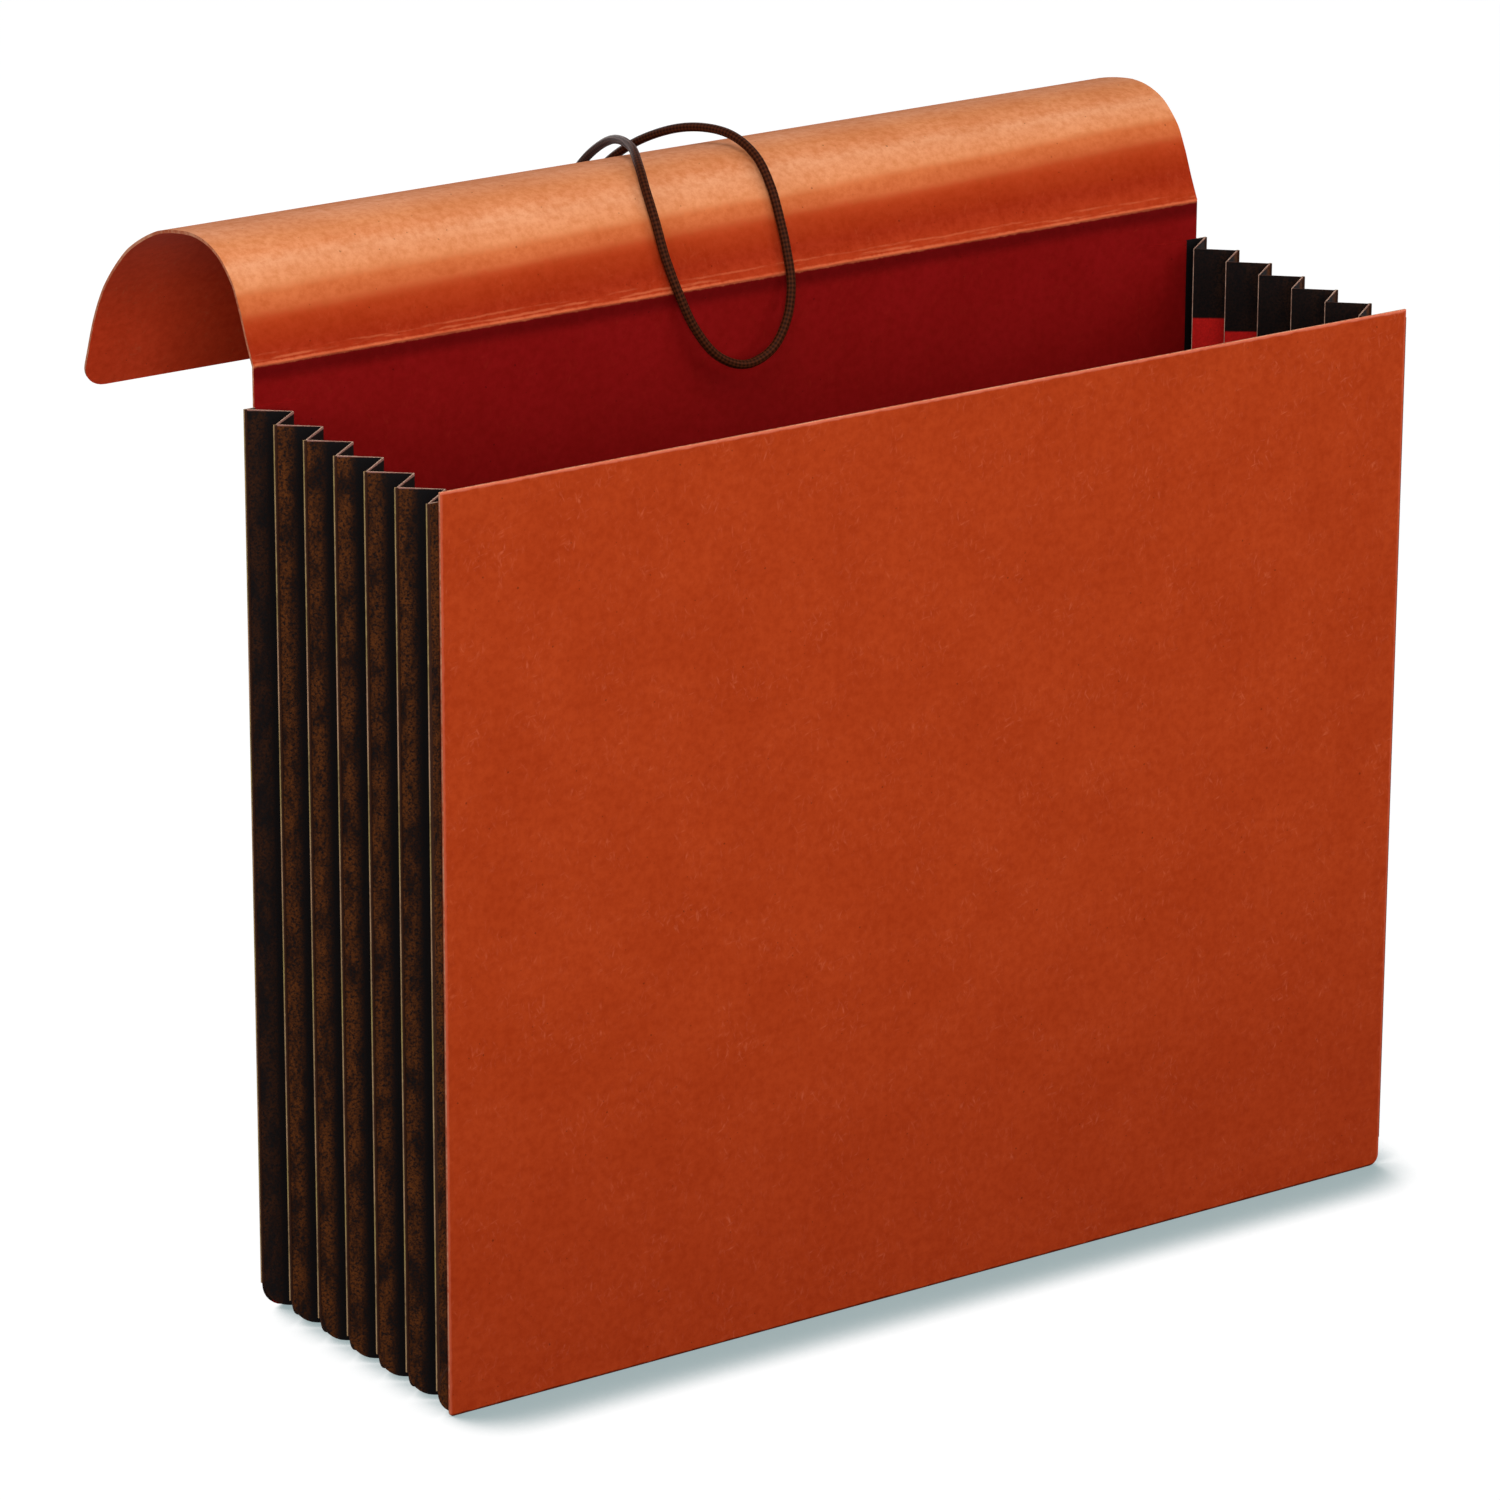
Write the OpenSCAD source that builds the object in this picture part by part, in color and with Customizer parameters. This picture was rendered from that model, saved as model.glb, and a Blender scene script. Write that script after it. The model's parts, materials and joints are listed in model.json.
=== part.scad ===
// Expanding file wallet: two stiff paper panels joined by a pleated paper gusset on three sides,
// with a long flap that is curled back over the rear panel and an elastic loop for holding it shut.
// The front faces -Y. The origin is the middle of the rear panel's bottom edge.

/* [Panels] */
// Width of both panels and of the flap
panel_w = 298.45; // [220:0.05:380]
// Height of the front panel
front_h = 241.3; // [180:0.1:320]
// Height of the rear panel up to the flap's crease
rear_h = 253; // [200:0.5:340]
// Thickness of the panel paper
panel_t = 0.8; // [0.6:0.05:1]
// Radius of the panels' bottom corners
panel_corner_r = 5; // [2:0.5:12]

/* [Gusset] */
// Distance from one outer fold to the next as the wallet stands open
pleat_pitch = 14; // [10:0.25:18]
// Length of one pleat leaf from its outer fold to its inner fold
leaf_len = 10.2; // [9.5:0.1:14]
// Thickness of the gusset paper
leaf_t = 0.4; // [0.3:0.05:0.5]
// How far the outer folds stand out past the panels' edges
gusset_proud = 2.75; // [1:0.25:5]
// Width of the strip that is glued to each panel
flange_w = 22; // [12:1:30]
// Thickness of the glued strip
flange_t = 0.5; // [0.4:0.05:0.8]
// Radius of the gusset's bottom corners, along the outer folds
fold_corner_r = 7; // [5:0.5:9]
// Radius of the rolled edge along an outer fold
fold_r = 0.5; // [0.4:0.05:0.6]
// Height of the gusset's top edge at the rear panel
gusset_rear_h = 242.5; // [180:0.5:250]
// Height of the gusset's top edge at the front panel
gusset_front_h = 238.8; // [175:0.1:240]

/* [Flap] */
// Angle at which the open flap leans back from the crease
flap_lean = 24; // [10:1:35]
// Straight stretch of the flap above the crease
flap_rise = 16; // [10:0.5:24]
// Radius of the tight bend at the top of the arch
top_bend_r = 22; // [16:1:30]
// Angle that the tight bend turns through
top_bend_turn = 66; // [50:1:75]
// Radius of the wide bend down the back
back_bend_r = 58; // [45:1:75]
// Angle that the wide bend turns through
back_bend_turn = 70; // [50:1:80]
// Straight stretch at the flap's free edge
flap_end = 16; // [15:0.5:30]
// Radius of the free corners
flap_corner_r = 7; // [3:0.5:12]

/* [Closure] */
// Diameter of the elastic cord
cord_d = 2.4; // [1.8:0.1:2.4]
// Bore radius of the eyelet
eyelet_bore_r = 2.8; // [2.7:0.1:3.5]
// Wall of the eyelet's barrel
eyelet_wall = 0.4; // [0.3:0.05:0.6]
// Width of the eyelet's rim beyond its barrel
eyelet_rim_w = 1.6; // [1:0.1:2.5]
// Thickness of the eyelet's rim
eyelet_rim_t = 0.4; // [0.3:0.05:0.6]
// Distance of the eyelet's centre from the free edge
eyelet_edge = 9; // [7:0.5:10]
// Radius of the knot that stops the cord's ends
knot_r = 3.6; // [3.4:0.1:5]

/* [Hidden] */
$fn = 64;
pleats = 6;
top_strips = 2;
back_strips = 5;
strips = 1 + top_strips + back_strips + 1;

// Room at the folds: between a leaf's root and its fold, between leaf tips, and at the corners
fold_gap = 0.4;
hinge_in = 0.8;
hinge_r = 0.25;
tip_gap = 0.4;
corner_gap = 0.4;
floor_gap = 0.05;

// Room at the flap's bends: the roll at each strip's end, and the seat of the strip after it
roll_inset = 0.05;
seat_gap = 0.15;
crease_gap = 0.3;
eyelet_gap = 0.05;

half_w = panel_w / 2;
fold_x = half_w + gusset_proud;
fold_z = fold_r + floor_gap;
rear_face_y = -panel_t / 2 - flange_t;
front_face_y = fold_y(pleats);
roll_r = panel_t / 2 - roll_inset;

// Leaf angle from the front-to-back direction, at which the tips of a pleat just miss each other
leaf_reach = pleat_pitch / 2 - fold_gap - hinge_r - tip_gap / 2;
leaf_angle = acos(leaf_reach / leaf_len);
leaf_corner_r = fold_corner_r - hinge_in;
leaf_z = fold_z + hinge_in;
bottom_half_w = fold_x - hinge_in - leaf_len - hinge_r - corner_gap;

// The flap as strips: each has a radius, 0 for a straight one, the angle it turns and its length
top_turn = top_bend_turn / top_strips;
back_turn = back_bend_turn / back_strips;

// Route of the cord as x, y and height above the crease, from the eyelet over the arch and back
cord_route = [
    [-1.3, 83.5, -17.1], [-1.4, 87.4, -13.5], [-1.8, 87.7, -8], [-2.6, 85, -1.6], [-3.7, 79.6, 6.4],
    [-5, 71.5, 15.3], [-6.8, 60, 23.5], [-10, 46, 29.5], [-15.5, 30, 31.5],
    [-20.5, 19, 29.5], [-23.5, 11, 24.5], [-24.3, 5.5, 17.5], [-24, 1.8, 9.5], [-22.5, -2.1, 0.5],
    [-19, -4.4, -9], [-13, -6, -17], [-4.5, -6.6, -20.6], [4, -6.4, -18], [9.5, -5.4, -11],
    [12.3, -3.4, -2.5], [13.2, 0, 6], [13.4, 3.6, 14], [13.6, 8, 21.5], [13.8, 15, 28],
    [13.2, 25, 31.6], [11.4, 36, 31.8], [8.6, 47, 29.4], [6, 60, 23.6], [4.2, 71.5, 15.7],
    [3, 79.6, 6.6], [2.2, 85, -1.5], [1.6, 87.7, -7.9], [1.4, 87.4, -13.4], [1.3, 83.5, -17.1]
];
cord_sides = 8;
rings_per_point = 2;

panel_colour = "#a63a16";
inside_colour = "#7d1a12";
gusset_colour = "#4a2a16";
fold_colour = "#8a6a48";
flap_colour = "#c8703f";
metal_colour = "#9a8a68";
cord_colour = "#3a1e14";

sides = ["left", "right", "bottom"];

function crease_name(k) = str("pleat_crease_", k);
function leaf_name(side, k, half) = str(side, "_leaf_", k, half);
function strip_name(i) = str("flap_strip_", i);

// Where outer fold k lies, from 0 at the rear panel to the last at the front panel
function fold_y(k) = rear_face_y - pleat_pitch * k;

// Height of the gusset's sloping top edge at fold k, which may be half way between two folds
function gusset_top(k) = gusset_rear_h + (gusset_front_h - gusset_rear_h) * k / pleats;

function strip_radius(i) = (i == 1 || i == strips) ? 0 : (i <= 1 + top_strips) ? top_bend_r : back_bend_r;
function strip_turn(i) = (i == 1 || i == strips) ? 0 : (i <= 1 + top_strips) ? top_turn : back_turn;

// Angle of the flap from upright, towards the back, where strip i starts
function strip_angle(i) = i == 1 ? flap_lean : strip_angle(i - 1) + strip_turn(i - 1);

// How far a bend of radius r carries the flap, back and up, from angle a to angle b
function bend_step(r, a, b) = r * [cos(a) - cos(b), sin(b) - sin(a)];

function strip_step(i) =
    i == 1 ? flap_rise * [sin(flap_lean), cos(flap_lean)]
           : bend_step(strip_radius(i), strip_angle(i), strip_angle(i) + strip_turn(i));

// Where strip i starts, as y and z
function strip_start(i) = i == 1 ? [0, rear_h] : strip_start(i - 1) + strip_step(i - 1);

function unit(v) = v / norm(v);

// A smooth curve through four neighbouring points, at t from the second to the third
function curve_point(a, b, c, d, t) =
    ((2 * b) + (c - a) * t + (2 * a - 5 * b + 4 * c - d) * t * t + (3 * b - a - 3 * c + d) * t * t * t) / 2;

function route_point(i) = cord_route[max(0, min(len(cord_route) - 1, i))] + [0, 0, rear_h];

function cord_path() = [
    for (i = [0 : len(cord_route) - 2], s = [0 : rings_per_point - 1])
        curve_point(route_point(i - 1), route_point(i), route_point(i + 1), route_point(i + 2), s / rings_per_point),
    route_point(len(cord_route) - 1)
];

function tangent(path, i) = unit(path[min(len(path) - 1, i + 1)] - path[max(0, i - 1)]);

// A direction square to the path at each point, carried along it without twisting
function carried(path, i, last) =
    i == len(path) ? []
                   : let (t = tangent(path, i), n = unit(last - (last * t) * t)) concat([n], carried(path, i + 1, n));

module along_x(length) {
    rotate([90, 0, 90])
        linear_extrude(length, center = true)
            children();
}

module rod_x(r, length, y, z) {
    translate([0, y, z])
        along_x(length)
            circle(r);
}

// An upright sheet in the X-Z plane, whose rear face is at y
module upright(y, t) {
    translate([0, y, 0])
        rotate([90, 0, 0])
            linear_extrude(t)
                children();
}

// Outline with a square top and round bottom corners
module tray_outline(half, z, top, r) {
    translate([-half, z + r])
        square([2 * half, top - z - r]);
    translate([r - half, z])
        square([2 * (half - r), 2 * r]);
    for (s = [-1, 1])
        translate([s * (half - r), z + r])
            circle(r);
}

module panel_outline(top) {
    tray_outline(half_w, 0, top, panel_corner_r);
}

// The strip glued along a panel's two sides and bottom
module glue_flange(y, top) {
    color(gusset_colour)
        upright(y, flange_t)
            difference() {
                tray_outline(fold_x, floor_gap, top, fold_corner_r);
                translate([flange_w - fold_x, floor_gap + flange_w])
                    square([2 * (fold_x - flange_w), top]);
            }
}

module rear_panel() {
    color(inside_colour) {
        upright(panel_t / 2, panel_t)
            panel_outline(rear_h);
        rod_x(roll_r, panel_w, 0, rear_h);
    }
}

module rear_glue_flange() {
    glue_flange(rear_face_y + flange_t, gusset_top(0));
}

module front_panel() {
    color(panel_colour)
        upright(front_face_y - flange_t, panel_t)
            panel_outline(front_h);
}

module front_glue_flange() {
    glue_flange(front_face_y, gusset_top(pleats));
}

// Rolled edge of one outer fold: down the left side, round the corners, along the bottom and up
module pleat_crease(k) {
    run_x = fold_x - fold_corner_r;
    run_z = fold_z + fold_corner_r;
    color(fold_colour)
        translate([0, fold_y(k), 0]) {
            rod_x(fold_r, 2 * run_x, 0, fold_z);
            for (s = [0, 1])
                mirror([s, 0, 0]) {
                    translate([fold_x, 0, run_z])
                        cylinder(gusset_top(k) - run_z, r = fold_r);
                    translate([run_x, 0, run_z])
                        rotate([90, 0, 0])
                            rotate([0, 0, -90])
                                rotate_extrude(angle = 90)
                                    translate([fold_corner_r, 0])
                                        circle(fold_r);
                }
        }
}

// Outline of a side leaf: along it from its fold, and up
module leaf_outline(root_top, tip_top) {
    difference() {
        polygon([[0, leaf_z], [leaf_len, leaf_z], [leaf_len, tip_top], [0, root_top]]);
        translate([0, leaf_z])
            difference() {
                translate([-1, -1])
                    square([leaf_corner_r + 1, leaf_corner_r + 1]);
                translate([leaf_corner_r, leaf_corner_r])
                    circle(leaf_corner_r);
            }
    }
}

// A leaf of the left side on fold k, leading to the rear for way 1 and to the front for way -1
module side_leaf(k, way) {
    tip_top = gusset_top(k - way / 2);
    color(gusset_colour)
        translate([hinge_in - fold_x, fold_y(k) + way * fold_gap, 0])
            rotate([0, 0, way * (90 - leaf_angle)]) {
                upright(leaf_t / 2, leaf_t)
                    leaf_outline(gusset_top(k), tip_top);
                translate([0, 0, leaf_z + leaf_corner_r])
                    cylinder(gusset_top(k) - leaf_z - leaf_corner_r, r = hinge_r);
                translate([leaf_len, 0, leaf_z])
                    cylinder(tip_top - leaf_z, r = hinge_r);
            }
}

// A leaf of the bottom on fold k
module bottom_leaf(k, way) {
    color(gusset_colour)
        translate([0, fold_y(k) + way * fold_gap, leaf_z])
            rotate([way * leaf_angle, 0, 0]) {
                translate([-bottom_half_w, min(0, way * leaf_len), -leaf_t / 2])
                    cube([2 * bottom_half_w, leaf_len, leaf_t]);
                rod_x(hinge_r, 2 * bottom_half_w, 0, 0);
                rod_x(hinge_r, 2 * bottom_half_w, way * leaf_len, 0);
            }
}

// Half a of pleat k hangs on the fold behind it and half b on the fold in front of it
module leaf(side, k, half) {
    fold = half == "a" ? k - 1 : k;
    way = half == "a" ? -1 : 1;
    if (side == "bottom") bottom_leaf(fold, way);
    if (side == "left") side_leaf(fold, way);
    if (side == "right") mirror([1, 0, 0]) side_leaf(fold, way);
}

// Puts a flat piece on the flap where strip i starts: Y along the strip and Z out of its upper side
module on_strip(i) {
    start = strip_start(i);
    translate([0, start[0], start[1]])
        rotate([90 - strip_angle(i), 0, 0])
            children();
}

module strip_body(i) {
    start = strip_start(i);
    a = strip_angle(i);
    b = a + strip_turn(i);
    r = strip_radius(i);
    if (r == 0)
        on_strip(i)
            translate([-half_w, 0, -panel_t / 2])
                cube([panel_w, flap_rise, panel_t]);
    else
        translate([0, start[0] + r * cos(a), start[1] - r * sin(a)])
            rotate([90, 0, 90])
                rotate([0, 0, 180 - b])
                    rotate_extrude(angle = b - a)
                        translate([r - panel_t / 2, -half_w])
                            square([panel_t, panel_w]);
}

// The seat at the start of strip i, which clears the rolled end of the one before
module strip_seat(i) {
    start = strip_start(i);
    rod_x(panel_t / 2 + (i == 1 ? crease_gap : seat_gap), panel_w + 2, start[0], start[1]);
}

module flap_strip(i) {
    finish = strip_start(i + 1);
    color(flap_colour) {
        difference() {
            strip_body(i);
            strip_seat(i);
        }
        rod_x(roll_r, panel_w, finish[0], finish[1]);
    }
}

// The last strip: straight, with round free corners and the hole for the eyelet
module flap_end_strip() {
    hole_r = eyelet_bore_r + eyelet_wall + eyelet_gap;
    color(flap_colour)
        difference() {
            on_strip(strips)
                translate([0, 0, -panel_t / 2])
                    linear_extrude(panel_t)
                        difference() {
                            mirror([0, 1])
                                tray_outline(half_w, -flap_end, 0, flap_corner_r);
                            translate([0, flap_end - eyelet_edge])
                                circle(hole_r);
                        }
            strip_seat(strips);
        }
}

module at_eyelet() {
    on_strip(strips)
        translate([0, flap_end - eyelet_edge, 0])
            children();
}

module eyelet() {
    barrel_r = eyelet_bore_r + eyelet_wall;
    rim_z = panel_t / 2;
    color(metal_colour)
        at_eyelet()
            rotate_extrude() {
                translate([eyelet_bore_r, -rim_z])
                    square([eyelet_wall, 2 * rim_z]);
                translate([eyelet_bore_r, rim_z])
                    square([eyelet_wall + eyelet_rim_w, eyelet_rim_t]);
                translate([eyelet_bore_r, -rim_z - eyelet_rim_t])
                    square([eyelet_wall + eyelet_rim_w, eyelet_rim_t]);
            }
}

// The knot sits flat on the eyelet's rim, on the flap's hollow side
module cord_knot() {
    seat_z = panel_t / 2 + eyelet_rim_t;
    sunk = knot_r - sqrt(knot_r * knot_r - pow(eyelet_bore_r + eyelet_wall / 2, 2));
    color(cord_colour)
        at_eyelet()
            mirror([0, 0, 1])
                translate([0, 0, seat_z])
                    difference() {
                        translate([0, 0, knot_r - sunk])
                            sphere(knot_r);
                        translate([-knot_r, -knot_r, -2 * knot_r])
                            cube(2 * knot_r);
                    }
}

module elastic_cord() {
    path = cord_path();
    count = len(path);
    normals = carried(path, 0, [1, 0, 0]);
    points = [
        for (i = [0 : count - 1], s = [0 : cord_sides - 1])
            let (a = 360 * s / cord_sides, n = normals[i], side = cross(tangent(path, i), n))
                path[i] + cord_d / 2 * (cos(a) * n + sin(a) * side)
    ];
    ends = [
        [for (s = [0 : cord_sides - 1]) s],
        [for (s = [cord_sides - 1 : -1 : 0]) (count - 1) * cord_sides + s]
    ];
    walls = [
        for (i = [0 : count - 2], s = [0 : cord_sides - 1])
            let (a = i * cord_sides, b = a + cord_sides, next = (s + 1) % cord_sides)
                [a + next, a + s, b + s, b + next]
    ];
    color(cord_colour)
        polyhedron(points, concat(ends, walls));
}

rear_panel();
rear_glue_flange();
front_panel();
front_glue_flange();
for (k = [1 : pleats - 1])
    pleat_crease(k);
for (s = sides, k = [1 : pleats], h = ["a", "b"])
    leaf(s, k, h);
for (i = [1 : strips - 1])
    flap_strip(i);
flap_end_strip();
eyelet();
cord_knot();
elastic_cord();
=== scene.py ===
"""Looks of an expanding file wallet: two sheets, a pleated gusset, a curled flap and an elastic loop.

Everything is in metres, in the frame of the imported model, whose solids each visible piece stands for.
"""

import json
import logging
import math
from dataclasses import dataclass, field
from enum import Enum
from typing import Any, Callable, Dict, List, Optional, Sequence, Tuple, Union

import bmesh
import bpy
from mathutils import Matrix, Vector
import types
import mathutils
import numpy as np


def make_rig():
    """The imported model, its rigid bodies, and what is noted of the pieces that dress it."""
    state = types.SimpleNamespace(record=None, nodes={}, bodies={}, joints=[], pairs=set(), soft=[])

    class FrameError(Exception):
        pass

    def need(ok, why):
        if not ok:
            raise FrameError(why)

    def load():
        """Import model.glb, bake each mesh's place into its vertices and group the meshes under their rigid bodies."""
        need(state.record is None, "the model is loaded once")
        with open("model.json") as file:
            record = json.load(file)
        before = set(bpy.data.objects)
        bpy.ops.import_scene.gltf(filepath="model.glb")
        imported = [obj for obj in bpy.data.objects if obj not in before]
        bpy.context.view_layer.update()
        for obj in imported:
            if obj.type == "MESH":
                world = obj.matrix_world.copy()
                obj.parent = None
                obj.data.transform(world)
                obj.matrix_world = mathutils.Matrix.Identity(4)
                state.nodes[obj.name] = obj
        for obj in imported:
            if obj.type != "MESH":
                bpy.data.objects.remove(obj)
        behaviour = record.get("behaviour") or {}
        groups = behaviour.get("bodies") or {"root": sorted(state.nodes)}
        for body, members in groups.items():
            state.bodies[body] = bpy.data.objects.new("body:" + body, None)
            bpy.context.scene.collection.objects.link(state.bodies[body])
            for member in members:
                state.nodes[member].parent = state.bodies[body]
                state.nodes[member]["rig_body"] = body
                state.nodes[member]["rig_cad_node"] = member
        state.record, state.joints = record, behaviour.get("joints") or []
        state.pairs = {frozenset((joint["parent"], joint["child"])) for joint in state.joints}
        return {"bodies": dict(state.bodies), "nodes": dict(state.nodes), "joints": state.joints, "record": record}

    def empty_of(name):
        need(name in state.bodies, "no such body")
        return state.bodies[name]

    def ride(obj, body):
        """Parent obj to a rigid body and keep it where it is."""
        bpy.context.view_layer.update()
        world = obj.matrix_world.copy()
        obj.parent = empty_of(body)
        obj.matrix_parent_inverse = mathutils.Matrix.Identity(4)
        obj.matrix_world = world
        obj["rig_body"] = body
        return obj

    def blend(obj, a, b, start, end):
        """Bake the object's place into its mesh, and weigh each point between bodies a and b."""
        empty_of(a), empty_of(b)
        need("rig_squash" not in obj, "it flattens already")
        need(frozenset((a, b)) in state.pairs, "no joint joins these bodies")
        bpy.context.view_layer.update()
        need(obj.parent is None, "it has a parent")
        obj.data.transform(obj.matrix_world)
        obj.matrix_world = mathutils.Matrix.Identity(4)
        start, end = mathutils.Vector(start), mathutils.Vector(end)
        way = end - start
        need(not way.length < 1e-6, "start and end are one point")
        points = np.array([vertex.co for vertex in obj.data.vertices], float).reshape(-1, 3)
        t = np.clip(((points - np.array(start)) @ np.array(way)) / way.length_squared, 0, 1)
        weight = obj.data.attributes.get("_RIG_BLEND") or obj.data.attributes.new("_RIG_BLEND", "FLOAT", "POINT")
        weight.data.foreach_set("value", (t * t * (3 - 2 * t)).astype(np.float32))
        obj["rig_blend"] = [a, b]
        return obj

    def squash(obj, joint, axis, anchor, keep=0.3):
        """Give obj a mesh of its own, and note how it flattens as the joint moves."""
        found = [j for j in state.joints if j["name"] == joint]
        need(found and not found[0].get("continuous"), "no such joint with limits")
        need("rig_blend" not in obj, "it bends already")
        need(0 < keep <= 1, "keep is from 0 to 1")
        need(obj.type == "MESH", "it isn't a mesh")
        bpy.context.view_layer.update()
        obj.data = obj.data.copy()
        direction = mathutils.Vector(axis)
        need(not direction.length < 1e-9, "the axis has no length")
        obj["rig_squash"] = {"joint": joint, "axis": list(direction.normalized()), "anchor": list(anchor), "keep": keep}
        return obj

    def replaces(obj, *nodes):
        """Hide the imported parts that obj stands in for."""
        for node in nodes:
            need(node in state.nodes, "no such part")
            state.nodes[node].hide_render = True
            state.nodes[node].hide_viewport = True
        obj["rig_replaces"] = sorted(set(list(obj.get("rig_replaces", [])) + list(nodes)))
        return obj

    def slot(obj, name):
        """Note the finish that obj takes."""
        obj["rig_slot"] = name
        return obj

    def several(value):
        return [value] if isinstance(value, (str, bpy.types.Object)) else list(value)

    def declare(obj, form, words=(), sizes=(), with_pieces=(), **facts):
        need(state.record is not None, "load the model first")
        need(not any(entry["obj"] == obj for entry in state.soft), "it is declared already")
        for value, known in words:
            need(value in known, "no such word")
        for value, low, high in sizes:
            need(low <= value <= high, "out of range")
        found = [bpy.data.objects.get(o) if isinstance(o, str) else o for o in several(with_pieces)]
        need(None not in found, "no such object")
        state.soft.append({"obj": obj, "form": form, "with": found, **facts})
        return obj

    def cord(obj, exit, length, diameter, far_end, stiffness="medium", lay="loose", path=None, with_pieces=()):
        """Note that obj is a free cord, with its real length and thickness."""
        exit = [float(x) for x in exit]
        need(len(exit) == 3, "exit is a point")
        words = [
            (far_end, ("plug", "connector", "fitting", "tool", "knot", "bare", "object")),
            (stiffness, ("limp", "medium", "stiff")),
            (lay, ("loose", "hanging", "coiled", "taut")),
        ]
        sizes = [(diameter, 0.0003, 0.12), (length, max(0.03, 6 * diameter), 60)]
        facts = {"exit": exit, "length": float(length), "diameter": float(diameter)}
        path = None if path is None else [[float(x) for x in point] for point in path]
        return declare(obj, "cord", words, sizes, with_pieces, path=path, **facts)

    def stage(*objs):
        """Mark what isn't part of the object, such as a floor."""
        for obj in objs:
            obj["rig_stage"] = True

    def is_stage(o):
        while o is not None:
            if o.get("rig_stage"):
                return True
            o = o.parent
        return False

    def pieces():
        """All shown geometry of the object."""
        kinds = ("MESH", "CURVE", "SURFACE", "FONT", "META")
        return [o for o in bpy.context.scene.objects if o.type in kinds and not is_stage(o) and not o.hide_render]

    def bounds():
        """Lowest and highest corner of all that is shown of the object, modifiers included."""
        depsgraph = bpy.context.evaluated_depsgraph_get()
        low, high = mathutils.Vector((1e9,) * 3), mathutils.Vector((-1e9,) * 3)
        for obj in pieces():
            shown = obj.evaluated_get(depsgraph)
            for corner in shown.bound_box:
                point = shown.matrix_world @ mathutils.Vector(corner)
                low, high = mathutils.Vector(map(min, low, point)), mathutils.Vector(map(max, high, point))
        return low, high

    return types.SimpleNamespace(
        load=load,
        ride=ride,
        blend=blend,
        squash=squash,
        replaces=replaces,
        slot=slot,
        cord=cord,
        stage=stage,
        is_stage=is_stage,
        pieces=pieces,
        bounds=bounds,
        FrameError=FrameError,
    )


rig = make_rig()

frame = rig.load()
CAD_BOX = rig.bounds()
LOG = logging.getLogger("wallet")

Colour = Tuple[float, float, float]
Point = Tuple[float, float, float]
SHEET_MAP = "sheet"

# Distance within which two places count as one.
NEAR = 1e-5
# Cosine past which a normal counts as facing a way.
FACING = 0.9
# Cosine past which a cut edge counts as facing up.
UPWARD = 0.7
# Cosine under which a cut edge counts as facing down.
DOWNWARD = -0.05
# Steps of a round corner.
CORNER_STEPS = 8
# Shading angle of flat sheets, too small for their rounded edges to tint their faces.
FLAT_ANGLE = 5.0
# Turn that stands a flat piece up, facing the front.
UPRIGHT = (math.pi / 2, 0.0, 0.0)


class Side(Enum):
    """The gusset's three runs."""

    LEFT = "left"
    RIGHT = "right"
    BOTTOM = "bottom"


class Half(Enum):
    """The two leaves of a pleat, with the way along Y in which each leads from its outer fold."""

    A = -1
    B = 1


class Coordinates(Enum):
    """What a finish's pattern follows."""

    SHEET = "the piece's own sheet map"
    OBJECT = "the object's frame"


@dataclass(frozen=True)
class WalletSizes:
    """Sizes that several sub-assemblies share."""

    half_w: float = 0.149225
    front_h: float = 0.2413
    rear_h: float = 0.253
    panel_t: float = 0.0008
    panel_corner_r: float = 0.005
    pleats: int = 6
    pitch: float = 0.014
    leaf_len: float = 0.0102
    leaf_t: float = 0.0004
    gusset_proud: float = 0.00275
    flange_w: float = 0.022
    flange_t: float = 0.0005
    fold_corner_r: float = 0.007
    fold_r: float = 0.0005
    fold_z: float = 0.00055
    gusset_rear_h: float = 0.2425
    gusset_front_h: float = 0.2388
    hinge_in: float = 0.0008
    hinge_r: float = 0.00025
    fold_gap: float = 0.0004
    tip_gap: float = 0.0004

    @property
    def fold_x(self) -> float:
        """Distance of the outer folds from the middle."""
        return self.half_w + self.gusset_proud

    @property
    def leaf_z(self) -> float:
        """Height of the bottom leaves' hinges and of the side leaves' lower edge."""
        return self.fold_z + self.hinge_in

    @property
    def leaf_angle(self) -> float:
        """Angle of a leaf from the Y axis, at which the tips of a pleat's leaves stay a gap apart."""
        reach = self.pitch / 2 - self.fold_gap - self.hinge_r - self.tip_gap / 2
        return math.acos(reach / self.leaf_len)

    def fold_y(self, k: float) -> float:
        """Where outer fold k lies, from 0 at the rear panel to the last at the front panel."""
        return -self.panel_t / 2 - self.flange_t - self.pitch * k

    def gusset_top(self, k: float) -> float:
        """Height of the gusset's sloping top edge at fold k."""
        return self.gusset_rear_h + (self.gusset_front_h - self.gusset_rear_h) * k / self.pleats


SIZES = WalletSizes()


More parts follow.
